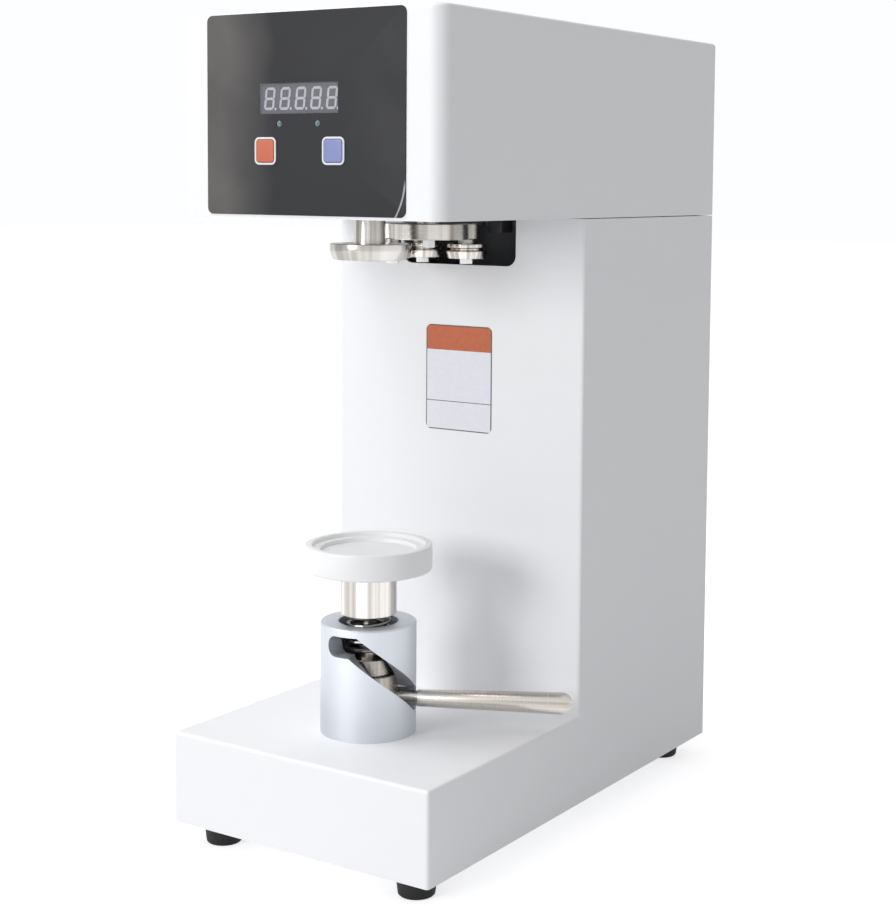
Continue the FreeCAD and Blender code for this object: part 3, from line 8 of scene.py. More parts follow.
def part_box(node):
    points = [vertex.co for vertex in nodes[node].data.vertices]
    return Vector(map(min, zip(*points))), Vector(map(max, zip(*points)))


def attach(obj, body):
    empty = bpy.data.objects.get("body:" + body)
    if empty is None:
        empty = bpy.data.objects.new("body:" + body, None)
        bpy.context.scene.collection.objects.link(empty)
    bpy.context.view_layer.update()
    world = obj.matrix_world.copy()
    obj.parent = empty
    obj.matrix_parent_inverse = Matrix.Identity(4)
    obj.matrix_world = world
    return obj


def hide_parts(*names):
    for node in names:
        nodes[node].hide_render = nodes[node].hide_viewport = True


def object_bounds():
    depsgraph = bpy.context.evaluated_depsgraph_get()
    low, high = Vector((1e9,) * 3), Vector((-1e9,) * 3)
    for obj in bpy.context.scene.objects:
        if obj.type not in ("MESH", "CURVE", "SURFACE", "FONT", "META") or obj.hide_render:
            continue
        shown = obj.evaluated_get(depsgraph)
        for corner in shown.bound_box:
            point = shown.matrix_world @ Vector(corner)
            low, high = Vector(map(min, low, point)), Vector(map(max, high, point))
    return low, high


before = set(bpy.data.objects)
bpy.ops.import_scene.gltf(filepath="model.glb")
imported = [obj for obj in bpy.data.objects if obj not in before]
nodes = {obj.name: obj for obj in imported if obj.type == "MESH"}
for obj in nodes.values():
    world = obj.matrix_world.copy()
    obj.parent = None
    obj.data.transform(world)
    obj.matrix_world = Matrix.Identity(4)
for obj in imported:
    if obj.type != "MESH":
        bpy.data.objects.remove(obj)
cad_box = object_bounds()

# ---- Viewpoint.
# The camera stands to the right of the machine's front, level with its chuck, and is turned and
# tipped down a little towards it. The lens is shifted so that the whole machine fills the frame.
camera_place = Vector((0.7400, -1.0979, 0.4709))
camera_turn = math.radians(33.02)
camera_tip = math.radians(-4.80)
camera_roll = math.radians(0.489)
lens = bpy.data.cameras.new("camera")
lens.lens = 70.16
lens.shift_x = -0.0479
lens.shift_y = -0.1382
camera = bpy.data.objects.new("camera", lens)
camera.matrix_world = (
    Matrix.Translation(camera_place)
    @ Matrix.Rotation(camera_turn, 4, "Z")
    @ Matrix.Rotation(math.radians(90.0) + camera_tip, 4, "X")
    @ Matrix.Rotation(camera_roll, 4, "Z")
)
bpy.context.scene.collection.objects.link(camera)
bpy.context.scene.camera = camera
bpy.context.scene.view_settings.view_transform = "Standard"


# ---- Floor, room and lamps.
# A plain white floor in a plain white room. The camera, metal and glass see it at full white,
# while it lights the machine more softly, so that white paint keeps its shading.
class Signal:
    """An output of a shader node that can be used in sums."""

    def __init__(self, finish, socket):
        self.finish = finish
        self.socket = socket

    def sum(self, operation, first, second):
        return self.finish.node("ShaderNodeMath", {"operation": operation}, {0: first, 1: second})

    def __add__(self, other):
        return self.sum("ADD", self, other)

    def __radd__(self, other):
        return self.sum("ADD", other, self)

    def __sub__(self, other):
        return self.sum("SUBTRACT", self, other)

    def __rsub__(self, other):
        return self.sum("SUBTRACT", other, self)

    def __mul__(self, other):
        return self.sum("MULTIPLY", self, other)

    def __rmul__(self, other):
        return self.sum("MULTIPLY", other, self)


class Finish:
    """A surface finish, made by adding nodes to the tree of a material or of the world."""

    def __init__(self, owner):
        owner.use_nodes = True
        self.owner = owner
        self.tree = owner.node_tree

    def node(self, kind, settings=None, inputs=None, output=0):
        made = self.tree.nodes.new(kind)
        for name, value in (settings or {}).items():
            setattr(made, name, value)
        for name, value in (inputs or {}).items():
            self.feed(made.inputs[name], value)
        return Signal(self, made.outputs[output])

    def feed(self, socket, value):
        if isinstance(value, Signal):
            self.tree.links.new(value.socket, socket)
        else:
            socket.default_value = value

    def surface(self, **values):
        """Sets the sockets of the Principled shader; a name's underscores stand for spaces."""
        shader = self.tree.nodes["Principled BSDF"]
        for name, value in values.items():
            self.feed(shader.inputs[name.replace("_", " ")], value)


def seen_directly(finish):
    """1 for rays that show the room itself: to the camera, in metal and through glass."""
    path = "ShaderNodeLightPath"
    seen = finish.node(path, output="Is Camera Ray") + finish.node(path, output="Is Glossy Ray")
    return finish.node(
        "ShaderNodeMath",
        {"operation": "ADD", "use_clamp": True},
        {0: seen, 1: finish.node(path, output="Is Transmission Ray")},
    )


room_light = 0.50
room = Finish(bpy.data.worlds.new("room"))
bpy.context.scene.world = room.owner
background = room.tree.nodes["Background"]
background.inputs["Color"].default_value = (0.985, 0.99, 1.0, 1.0)
room.feed(background.inputs["Strength"], room_light + (1.0 - room_light) * seen_directly(room))

floor_reach = 12.0
floor_colour = (0.82, 0.82, 0.83, 1.0)
floor_glow = 0.62
floor_finish = Finish(bpy.data.materials.new("floor"))
floor_finish.surface(Base_Color=floor_colour, Roughness=0.9, Specular_IOR_Level=0.0)
floor_finish.surface(Emission_Color=(1.0, 1.0, 1.0, 1.0))
floor_finish.surface(Emission_Strength=floor_glow * seen_directly(floor_finish))
floor_mesh = bmesh.new()
bmesh.ops.create_grid(floor_mesh, x_segments=1, y_segments=1, size=floor_reach)
floor_data = bpy.data.meshes.new("floor")
floor_mesh.to_mesh(floor_data)
floor_mesh.free()
floor_data.materials.append(floor_finish.owner)
floor = bpy.data.objects.new("floor", floor_data)
bpy.context.scene.collection.objects.link(floor)


def softbox(name, place, target, size, power):
    """A square lamp that faces a point."""
    light = bpy.data.lights.new(name, "AREA")
    light.shape = "SQUARE"
    light.size = size
    light.energy = power
    lamp = bpy.data.objects.new(name, light)
    lamp.location = place
    lamp.rotation_euler = (Vector(target) - Vector(place)).to_track_quat("-Z", "Y").to_euler()
    bpy.context.scene.collection.objects.link(lamp)


machine_middle = (cad_box[0] + cad_box[1]) / 2
softbox("front_lamp", (-0.65, -2.60, 0.95), machine_middle, 0.9, 25.0)
softbox("top_lamp", (-0.75, -0.60, 2.10), (0.0, -0.10, 0.0), 1.0, 19.0)


# ---- Body shell: base and column.
# One folded and welded sheet of 2 mm steel, open below and behind, with small bends round the
# base top and up the front corners. It is white powder coat, with a notch for the roller turret.
def noise(finish, scale, detail=2.0, place=None):
    """Even mottling; the scale is in patches for each metre."""
    if place is None:
        place = finish.node("ShaderNodeTexCoord", output="Object")
    return finish.node(
        "ShaderNodeTexNoise", None, {"Vector": place, "Scale": scale, "Detail": detail}
    )


def mixed(finish, share, first, second):
    """Two colours mixed, with a share of the second."""
    return finish.node(
        "ShaderNodeMix", {"data_type": "RGBA"}, {"Factor": share, 6: first, 7: second}, 2
    )


def relief(finish, height, depth, strength=1.0):
    """A bump of a depth in metres."""
    return finish.node(
        "ShaderNodeBump", None, {"Height": height, "Distance": depth, "Strength": strength}
    )


def powder_coat(name, colour, shade):
    """Baked powder coat, with its fine orange peel and a faint clouding."""
    finish = Finish(bpy.data.materials.new(name))
    cloud = noise(finish, 9.0, 3.0)
    peel = noise(finish, 700.0, 2.0)
    finish.surface(
        Base_Color=mixed(finish, cloud, shade, colour),
        Roughness=0.40 + 0.16 * cloud,
        Normal=relief(finish, peel, 0.00006),
        Specular_IOR_Level=0.35,
    )
    return finish


crease_angle = math.radians(32.0)


def made(name, mesh, body, finish, slot, stands_for=()):
    """Turns a bmesh into a piece of the machine and says what it rides on and stands for."""
    bmesh.ops.recalc_face_normals(mesh, faces=mesh.faces)
    data = bpy.data.meshes.new(name)
    mesh.to_mesh(data)
    mesh.free()
    data.shade_smooth()
    data.set_sharp_from_angle(angle=crease_angle)
    data.materials.append(finish.owner)
    piece = bpy.data.objects.new(name, data)
    bpy.context.scene.collection.objects.link(piece)
    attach(piece, body)
    if stands_for:
        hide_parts(*stands_for)
    return piece


def box_mesh(low, high):
    """A box between two corners."""
    mesh = bmesh.new()
    low, high = Vector(low), Vector(high)
    size = Matrix.Diagonal((high - low).to_4d())
    size[3][3] = 1.0
    bmesh.ops.create_cube(mesh, size=1.0, matrix=Matrix.Translation((low + high) / 2) @ size)
    return mesh


def along(edge, axis):
    """True if an edge runs along an axis."""
    way = (edge.verts[1].co - edge.verts[0].co).normalized()
    return abs(abs(way[axis]) - 1.0) < 1e-4


def near(first, second):
    """True for two equal places."""
    return abs(first - second) < 1e-5


def rounded(mesh, radius, segments, wanted):
    """Bevels the wanted edges to a round."""
    edges = [edge for edge in mesh.edges if wanted(edge)]
    bmesh.ops.bevel(
        mesh, geom=edges, offset=radius, offset_type="OFFSET", segments=segments,
        profile=0.5, affect="EDGES", material=-1,
    )


def hollowed(piece, wall):
    """Gives an open skin its wall, inwards."""
    solid = piece.modifiers.new("wall", "SOLIDIFY")
    solid.thickness = wall
    solid.offset = -1.0
    solid.use_even_offset = True


def cut(piece, cutters):
    """Takes shapes out of a piece; each is thrown away afterwards."""
    for number, mesh in enumerate(cutters):
        bmesh.ops.recalc_face_normals(mesh, faces=mesh.faces)
        data = bpy.data.meshes.new("cutter")
        mesh.to_mesh(data)
        mesh.free()
        cutter = bpy.data.objects.new("cutter", data)
        bpy.context.scene.collection.objects.link(cutter)
        modifier = piece.modifiers.new("cut_%d" % number, "BOOLEAN")
        modifier.operation = "DIFFERENCE"
        modifier.solver = "EXACT"
        modifier.object = cutter
    graph = bpy.context.evaluated_depsgraph_get()
    graph.update()
    shaped = bpy.data.meshes.new_from_object(piece.evaluated_get(graph))
    throwaway = [modifier.object for modifier in piece.modifiers if modifier.type == "BOOLEAN"]
    piece.modifiers.clear()
    piece.data = shaped
    for cutter in throwaway:
        bpy.data.objects.remove(cutter)
    piece.data.shade_smooth()
    piece.data.set_sharp_from_angle(angle=crease_angle)


def even_shading(piece):
    """Lets the large flat faces keep their flatness next to small rounds."""
    weighted = piece.modifiers.new("even_shading", "WEIGHTED_NORMAL")
    weighted.keep_sharp = True


white_coat = powder_coat("white_coat", (0.885, 0.89, 0.905, 1.0), (0.865, 0.87, 0.885, 1.0))
sheet = 0.002
bend = 0.0025
shell_low, shell_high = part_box("body_shell")
sleeve_low, sleeve_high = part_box("lift_sleeve")
plate_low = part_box("main_plate")[0]
base_top = sleeve_low.z
column_front = -0.0075
head_bottom = plate_low.z
shell_mesh = bmesh.new()
shell_outline = [
    (shell_low.y, shell_low.z), (shell_high.y, shell_low.z), (shell_high.y, shell_high.z),
    (column_front, shell_high.z), (column_front, base_top), (shell_low.y, base_top),
]
side = shell_mesh.faces.new([shell_mesh.verts.new((shell_low.x, y, z)) for y, z in shell_outline])
pulled = bmesh.ops.extrude_face_region(shell_mesh, geom=[side])["geom"]
moved = [item for item in pulled if isinstance(item, bmesh.types.BMVert)]
bmesh.ops.translate(shell_mesh, verts=moved, vec=(shell_high.x - shell_low.x, 0.0, 0.0))
open_faces = [
    face for face in shell_mesh.faces
    if all(near(vert.co.z, shell_low.z) for vert in face.verts)
    or all(near(vert.co.y, shell_high.y) for vert in face.verts)
    or all(near(vert.co.z, shell_high.z) for vert in face.verts)
]
bmesh.ops.delete(shell_mesh, geom=open_faces, context="FACES")


def folded(edge):
    """True on the bends of the shell: not on its rims, nor where the column meets the base."""
    inside_corner = all(
        near(vert.co.y, column_front) and near(vert.co.z, base_top) for vert in edge.verts
    )
    column_side = all(near(vert.co.z, base_top) and vert.co.y > column_front - 1e-5 for vert in edge.verts)
    return len(edge.link_faces) == 2 and not inside_corner and not column_side


rounded(shell_mesh, bend, 5, folded)
body = made("housing_body", shell_mesh, "frame", white_coat, "white_coat", ["body_shell"])
hollowed(body, sheet)
notch_left, notch_right = -0.049, 0.052
notch_bottom = head_bottom - 0.0365
notch_corner = 0.008
notch = box_mesh(
    (notch_left, column_front - 0.01, notch_bottom), (notch_right, column_front + 0.01, head_bottom + 0.02)
)
rounded(notch, notch_corner, 8, lambda edge: along(edge, 1))
cut(body, [notch])
even_shading(body)

# ---- Head cover.
# A folded steel cover, open below, with wide front corners and a smaller round along its top.
# Its front is cut through for the counter window, the two lamps and the two keys.
cover_low, cover_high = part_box("head_cover")
corner_radius = 0.011
top_round = 0.003
cover_mesh = box_mesh(cover_low, cover_high)
bottom_face = [face for face in cover_mesh.faces if face.normal.z < -0.9]
bmesh.ops.delete(cover_mesh, geom=bottom_face, context="FACES")
rounded(
    cover_mesh, corner_radius, 12,
    lambda edge: along(edge, 2) and near(edge.verts[0].co.y, cover_low.y),
)
rounded(cover_mesh, top_round, 4, lambda edge: all(near(v.co.z, cover_high.z) for v in edge.verts))
head = made("housing_head", cover_mesh, "frame", white_coat, "white_coat", ["head_cover"])
hollowed(head, sheet)


def hole(centre, radius, y, steps=24):
    """A round cutter along Y."""
    mesh = bmesh.new()
    middle = Matrix.Translation((centre[0], sum(y) / 2, centre[1]))
    turn = middle @ Matrix.Rotation(math.radians(90), 4, "X")
    bmesh.ops.create_cone(
        mesh, cap_ends=True, segments=steps, radius1=radius, radius2=radius,
        depth=abs(y[1] - y[0]), matrix=turn,
    )
    return mesh


def panel_holes(y, margin):
    """The counter window, the lamp holes and the key holes of the head front."""
    window_low, window_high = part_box("display_window")
    window = box_mesh((window_low.x, y[0], window_low.z), (window_high.x, y[1], window_high.z))
    cutters = [window]
    lamps_low, lamps_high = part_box("indicator_lamps")
    lamp_radius = (lamps_high.z - lamps_low.z) / 2
    for x in (lamps_low.x + lamp_radius, lamps_high.x - lamp_radius):
        cutters.append(hole((x, lamps_low.z + lamp_radius), lamp_radius + margin / 5, y))
    for key in ("stop_button", "start_button"):
        low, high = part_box(key)
        flange = 0.002
        opening = box_mesh(
            (low.x + flange - margin, y[0], low.z + flange - margin),
            (high.x - flange + margin, y[1], high.z - flange + margin),
        )
        rounded(opening, 0.00225, 4, lambda edge: along(edge, 1))
        cutters.append(opening)
    return cutters


cut(head, panel_holes((cover_low.y - 0.01, cover_low.y + 0.01), 0.00025))
even_shading(head)


# ---- Control film.
# A charcoal polyester film stuck to the head front, with a soft sheen, a painted reflection as a lighter
# haze towards its left side and a painted highlight along a bowed line near its lower right. Its printed
# face is left plain. A moulded white rim stands round each key.
def local_place(finish, centre, turn=(0.0, 0.0, 0.0)):
    """Object coordinates about a point, turned so that Z follows a piece's own axis."""
    return finish.node(
        "ShaderNodeMapping",
        {"vector_type": "TEXTURE"},
        {
            "Vector": finish.node("ShaderNodeTexCoord", output="Object"),
            "Location": centre,
            "Rotation": turn,
        },
    )


def stepped(finish, value, low, high):
    """Runs from 0 to 1 as a value goes from low to high."""
    return finish.node(
        "ShaderNodeMapRange", {"clamp": True}, {"Value": value, "From Min": low, "From Max": high}
    )


def parts(finish, place):
    """The three numbers of a place."""
    kind = "ShaderNodeSeparateXYZ"
    return [finish.node(kind, None, {0: place}, output=axis) for axis in range(3)]


def soft_plastic(name, light, dark, roughness, grain=900.0, specular=0.4):
    """Moulded plastic: a fine grain and a slight unevenness of colour."""
    finish = Finish(bpy.data.materials.new(name))
    cloud = noise(finish, 60.0, 3.0)
    finish.surface(
        Base_Color=mixed(finish, cloud, dark, light),
        Roughness=roughness - 0.08 + 0.16 * cloud,
        Normal=relief(finish, noise(finish, grain, 2.0), 0.00002),
        Specular_IOR_Level=specular,
    )
    return finish


film_front = cover_low.y - 0.0006
film_low, film_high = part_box("control_overlay")
film_middle = (film_low + film_high) / 2
film_finish = Finish(bpy.data.materials.new("overlay_film"))
film_x, _, film_z = parts(film_finish, local_place(film_finish, film_middle))
# Painted reflection: a lighter brownish-grey haze in the colour towards the film's left side, with a ragged
# edge; its noise also varies the roughness.
reflection_and_gloss_noise = noise(film_finish, 22.0, 4.0)
reflection_edge_noise = noise(film_finish, 9.0, 3.0)
reflection_side = stepped(film_finish, film_x * -9.0 - 0.20 + 0.5 * reflection_edge_noise, 0.28, 0.62)
painted_reflection = reflection_side * (0.35 + 0.9 * reflection_and_gloss_noise)
# Painted highlight: a light grey bowed line in the colour near the film's lower right corner.
highlight_bow = film_x - 0.0828 + (film_z + 0.043) * (film_z + 0.043) * 13.0
highlight_near = film_finish.node("ShaderNodeMath", {"operation": "ABSOLUTE"}, {0: highlight_bow})
highlight_line = stepped(film_finish, highlight_near, 0.0009, 0.0003)
highlight_height = stepped(film_finish, film_z, -0.043, -0.048)
painted_highlight = highlight_line * highlight_height
charcoal = mixed(film_finish, painted_reflection, (0.016, 0.0165, 0.020, 1.0), (0.115, 0.108, 0.104, 1.0))
film_finish.surface(
    Base_Color=mixed(film_finish, painted_highlight, charcoal, (0.42, 0.42, 0.46, 1.0)),
    Roughness=0.42 + 0.20 * reflection_and_gloss_noise,
    Normal=relief(film_finish, noise(film_finish, 500.0, 2.0), 0.000012),
    Specular_IOR_Level=0.28,
)
film_mesh = box_mesh((film_low.x, film_front, film_low.z), (film_high.x, cover_low.y, film_high.z))
rounded(film_mesh, 0.0045, 8, lambda edge: along(edge, 1))
rounded(film_mesh, 0.0002, 2, lambda edge: all(near(v.co.y, film_front) for v in edge.verts))
film = made("control_film", film_mesh, "frame", film_finish, "overlay_film", ["control_overlay"])
cut(film, panel_holes((film_front - 0.01, cover_low.y + 0.01), 0.00025))

rim_white = soft_plastic("rim_white", (0.80, 0.80, 0.82, 1.0), (0.72, 0.72, 0.75, 1.0), 0.42)
rim_width = 0.0017
rim_stand = 0.0009
key_flange = 0.002
key_gap = 0.00025
for key in ("stop_button", "start_button"):
    low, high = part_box(key)
    grow = rim_width - key_flange
    rim_mesh = box_mesh(
        (low.x - grow, film_front - rim_stand, low.z - grow), (high.x + grow, film_front, high.z + grow)
    )
    rounded(rim_mesh, 0.0037, 8, lambda edge: along(edge, 1))
    rim = made(key + "_rim", rim_mesh, "frame", rim_white, "overlay_film")
    gap = key_flange - key_gap
    opening = box_mesh(
        (low.x + gap, film_front - 0.01, low.z + gap), (high.x - gap, film_front + 0.01, high.z - gap)
    )
    rounded(opening, 0.00225, 4, lambda edge: along(edge, 1))
    cut(rim, [opening])
    soften = rim.modifiers.new("soft_edge", "BEVEL")
    soften.width = 0.0004
    soften.segments = 3
    soften.limit_method = "ANGLE"
    soften.angle_limit = math.radians(50.0)

# ---- Push keys.
# Square moulded keys, orange-red for stop and periwinkle for start, with soft corners and
# edges. A flange behind the panel keeps each key in; it rides on its own switch plunger.
key_colours = {
    "stop_button": ("stop_key", (0.60, 0.150, 0.072, 1.0), (0.50, 0.115, 0.052, 1.0)),
    "start_button": ("start_key", (0.235, 0.280, 0.545, 1.0), (0.200, 0.240, 0.490, 1.0)),
}
for key, (slot_name, light, dark) in key_colours.items():
    low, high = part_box(key)
    plastic = soft_plastic(slot_name, light, dark, 0.34, 1200.0, 0.5)
    cap = box_mesh(
        (low.x + key_flange, low.y, low.z + key_flange), (high.x - key_flange, high.y, high.z - key_flange)
    )
    rounded(cap, 0.002, 6, lambda edge: along(edge, 1))
    rounded(cap, 0.0011, 5, lambda edge: all(near(v.co.y, low.y) for v in edge.verts))
    made(key + "_cap", cap, key.replace("button", "key"), plastic, slot_name, [key])
    flange_back = box_mesh((low.x, high.y - 0.0015, low.z), (high.x, high.y, high.z))
    rounded(flange_back, 0.0004, 2, lambda edge: True)
    made(key + "_flange", flange_back, key.replace("button", "key"), plastic, slot_name)

# ---- Counter.
# A five-figure module behind a clear strip. Its face is grey, and the unlit bars of the figures
# are milky white; each figure leans a little and has a point at its foot.
def turned(profile, place, steps=64):
    """A turned part: a profile of (radius, height) points spun about its axis."""
    mesh = bmesh.new()
    points = [mesh.verts.new((radius, 0.0, height)) for radius, height in profile]
    lines = [mesh.edges.new(pair) for pair in zip(points, points[1:])]
    bmesh.ops.spin(
        mesh, geom=points + lines, cent=(0, 0, 0), axis=(0, 0, 1), angle=2 * math.pi,
        steps=steps, use_merge=True,
    )
    bmesh.ops.remove_doubles(mesh, verts=mesh.verts, dist=1e-6)
    bmesh.ops.recalc_face_normals(mesh, faces=mesh.faces)
    bmesh.ops.transform(mesh, matrix=place, verts=mesh.verts)
    return mesh


module_low, module_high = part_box("counter_display")
face_grey = soft_plastic("display_grey", (0.125, 0.130, 0.155, 1.0), (0.105, 0.110, 0.130, 1.0), 0.5)
module = box_mesh(module_low, module_high)
rounded(module, 0.0003, 2, lambda edge: True)
made("counter_module", module, "frame", face_grey, "display_grey", ["counter_display"])

bar_milk = soft_plastic("counter_bars", (0.78, 0.79, 0.82, 1.0), (0.68, 0.69, 0.72, 1.0), 0.4)
figure_height = 0.0150
figure_width = 0.0086
figure_pitch = 0.0131
figure_left = 0.0034
bar_width = 0.0017
bar_rise = 0.00012
bar_gap = 0.0002
lean = math.tan(math.radians(7.0))


def bar(mesh, middle, length, upright):
    """One six-sided bar of a figure."""
    across_bar = bar_width / 2 - 0.00001
    size = (bar_width, 2 * bar_rise, length) if upright else (length, 2 * bar_rise, bar_width)
    grown = bmesh.ops.create_cube(
        mesh, size=1.0, matrix=Matrix.Translation(middle) @ Matrix.Diagonal((*size, 1.0))
    )["verts"]
    corners = [edge for edge in mesh.edges if set(edge.verts) <= set(grown) and along(edge, 1)]
    bmesh.ops.bevel(
        mesh, geom=corners, offset=across_bar, offset_type="OFFSET", segments=1,
        profile=0.5, affect="EDGES", material=-1,
    )


figures = bmesh.new()
for number in range(5):
    figure = bmesh.new()
    tall = (figure_height - bar_width) / 2
    wide = figure_width - bar_width
    for level in (0.0, tall, 2 * tall):
        bar(figure, Vector((wide / 2, 0.0, level)), wide - bar_gap, False)
    for x in (0.0, wide):
        for level in (tall / 2, 3 * tall / 2):
            bar(figure, Vector((x, 0.0, level)), tall - bar_gap, True)
    point_place = Matrix.Translation((wide + 0.0022, 0.0, -0.0001)) @ Matrix.Rotation(math.pi / 2, 4, "X")
    bmesh.ops.create_cone(
        figure, cap_ends=True, segments=16, radius1=0.0009, radius2=0.0009, depth=2 * bar_rise,
        matrix=point_place,
    )
    leaning = Matrix.Identity(4)
    leaning[0][2] = lean
    foot = Vector((
        module_low.x + figure_left + number * figure_pitch,
        module_low.y,
        (module_low.z + module_high.z) / 2 - tall,
    ))
    bmesh.ops.transform(figure, matrix=Matrix.Translation(foot) @ leaning, verts=figure.verts)
    figure_data = bpy.data.meshes.new("figure")
    figure.to_mesh(figure_data)
    figure.free()
    figures.from_mesh(figure_data)
    bpy.data.meshes.remove(figure_data)
face_margin = 0.0002
bmesh.ops.bisect_plane(
    figures, geom=figures.verts[:] + figures.edges[:] + figures.faces[:],
    plane_co=(module_high.x - face_margin, 0, 0), plane_no=(1, 0, 0), clear_outer=True,
)
bmesh.ops.holes_fill(figures, edges=[edge for edge in figures.edges if len(edge.link_faces) == 1])
made("counter_figures", figures, "frame", bar_milk, "display_grey")


def dressed(finish, *names):
    """Gives solids of the frame their finish."""
    for name in names:
        materials = nodes[name].data.materials
        materials.clear()
        materials.append(finish.owner)


window_finish = Finish(bpy.data.materials.new("window_film"))
window_haze = noise(window_finish, 140.0, 3.0)
window_finish.surface(
    Base_Color=(0.30, 0.30, 0.34, 1.0),
    Roughness=0.10 + 0.10 * window_haze,
    Alpha=0.14 + 0.06 * window_haze,
)
dressed(window_finish, "display_window")

# ---- Lamps, circuit board and standoffs.
# Two water-clear round-nosed lamps shine through the panel when lit. They and the counter stand
# on a green board with a driver chip, screwed to four steel posts inside the head front.
lamp_finish = Finish(bpy.data.materials.new("lamp_lens"))
lamp_low, lamp_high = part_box("indicator_lamps")
lamp_radius = (lamp_high.z - lamp_low.z) / 2
lamp_glint = noise(lamp_finish, 500.0, 2.0)
lamp_finish.surface(
    Base_Color=mixed(lamp_finish, lamp_glint, (0.085, 0.125, 0.15, 1.0), (0.22, 0.28, 0.32, 1.0)),
    Roughness=0.08 + 0.10 * lamp_glint,
)
for side, x in (("left", lamp_low.x + lamp_radius), ("right", lamp_high.x - lamp_radius)):
    nose = Matrix.Translation((x, lamp_low.y, lamp_low.z + lamp_radius))
    facing = nose @ Matrix.Rotation(-math.pi / 2, 4, "X")
    depth = lamp_high.y - lamp_low.y
    lamp_mesh = turned([(0, 0), (lamp_radius, 0), (lamp_radius, depth), (0, depth)], facing, 32)
    rounded(lamp_mesh, lamp_radius * 0.96, 8, lambda edge: (
        edge.calc_face_angle(0.0) > 0.6 and all(near(v.co.y, lamp_low.y) for v in edge.verts)
    ))
    made(
        side + "_lamp", lamp_mesh, "frame", lamp_finish, "lamp_lens",
        ["indicator_lamps"] if side == "left" else [],
    )

board_green = Finish(bpy.data.materials.new("board_green"))
trace_wave = board_green.node(
    "ShaderNodeTexWave", {"wave_type": "BANDS", "bands_direction": "Z"},
    {"Vector": board_green.node("ShaderNodeTexCoord", output="Object"), "Scale": 90.0, "Distortion": 3.0},
    1,
)
traces = stepped(board_green, trace_wave, 0.70, 0.78)
board_green.surface(
    Base_Color=mixed(board_green, traces, (0.012, 0.09, 0.035, 1.0), (0.03, 0.16, 0.06, 1.0)),
    Roughness=0.30 + 0.1 * traces,
    Normal=relief(board_green, traces, 0.00003),
)
dressed(board_green, "control_board")


# ---- Spindle.
# A ground steel shaft on two sealed ball bearings in a flanged housing on the main plate, with a
# spring clip below them. The hardened chuck is turned, with a tapered skirt, and screws on.
def turned_metal(name, centre, light, dark, roughness, bands=2.2, turn=(0.0, 0.0, 0.0), edges=(0.40, 0.60)):
    """Lathe-turned metal: painted reflections as bright and dark streaks across the cut, and fine rings
    along it.
    """
    finish = Finish(bpy.data.materials.new(name))
    place = local_place(finish, centre, turn)
    flat = finish.node("ShaderNodeVectorMath", {"operation": "MULTIPLY"}, {0: place, 1: (1.0, 1.0, 0.0)})
    way = finish.node("ShaderNodeVectorMath", {"operation": "NORMALIZE"}, {0: flat})
    radius = finish.node("ShaderNodeVectorMath", {"operation": "LENGTH"}, {0: flat}, 1)
    height = parts(finish, place)[2]
    lathe_place = finish.node("ShaderNodeCombineXYZ", None, {0: radius, 1: height})
    # Painted reflection: bright and dark streaks in the colour, set by the angle round the axis, stand in
    # for the room seen in polished metal.
    painted_reflection_noise = noise(finish, bands, 3.0, way)
    ring = noise(finish, 1400.0, 2.0, lathe_place)
    tint = noise(finish, 45.0, 2.0)
    painted_reflection_colour = mixed(finish, stepped(finish, painted_reflection_noise, edges[0], edges[1]), dark, light)
    warm = tuple(value * share for value, share in zip(light[:3], (0.86, 0.80, 0.74))) + (1.0,)
    finish.surface(
        Base_Color=mixed(finish, 0.45 * tint, painted_reflection_colour, warm),
        Metallic=1.0,
        Roughness=roughness - 0.06 + 0.12 * ring,
        Normal=relief(finish, ring, 0.000012),
    )
    return finish


def brushed(name, light, dark, roughness, scale=260.0, metallic=1.0):
    """Plated or rolled metal with a soft spangle."""
    finish = Finish(bpy.data.materials.new(name))
    spangle = noise(finish, scale, 3.0)
    finish.surface(
        Base_Color=mixed(finish, spangle, dark, light),
        Metallic=metallic,
        Roughness=roughness - 0.08 + 0.16 * spangle,
        Normal=relief(finish, noise(finish, 4.0 * scale, 2.0), 0.00001),
    )
    return finish


def sharp_edge(edge):
    """True on the turned edges of a part, where two of its surfaces meet at an angle."""
    return edge.calc_face_angle(0.0) > 0.55


chuck_low, chuck_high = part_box("seaming_chuck")
spindle_centre = Vector(((chuck_low.x + chuck_high.x) / 2, (chuck_low.y + chuck_high.y) / 2, 0.0))
spindle_place = Matrix.Translation(spindle_centre)
spindle_steel = turned_metal(
    "spindle_steel", spindle_centre, (0.80, 0.79, 0.77, 1.0), (0.22, 0.205, 0.19, 1.0), 0.24, 2.4
)
dressed(spindle_steel, "spindle_shaft", "spindle_housing")
chuck_steel = turned_metal(
    "chuck_steel", spindle_centre, (0.74, 0.73, 0.71, 1.0), (0.30, 0.285, 0.265, 1.0), 0.22, 1.5
)
chuck_radius = (chuck_high.x - chuck_low.x) / 2
chuck_face = 0.0253
chuck_taper = 0.0064
screw_recess = 0.0075
recess_depth = 0.0055
spigot = 0.0075
chuck_mesh = turned([
    (0.0, chuck_low.z + recess_depth), (screw_recess, chuck_low.z + recess_depth),
    (screw_recess, chuck_low.z), (chuck_face, chuck_low.z),
    (chuck_radius, chuck_low.z + chuck_taper), (chuck_radius, chuck_high.z),
    (spigot, chuck_high.z), (spigot, chuck_high.z - 0.003), (0.0, chuck_high.z - 0.003),
], spindle_place, 128)
rounded(chuck_mesh, 0.0005, 3, sharp_edge)
rounded(chuck_mesh, 0.0003, 2, lambda edge: (
    0.2 < edge.calc_face_angle(0.0) < 0.55
    and all(near(v.co.z, chuck_low.z + chuck_taper) for v in edge.verts)
))
made("chuck", chuck_mesh, "spindle", chuck_steel, "turned_steel", ["seaming_chuck"])

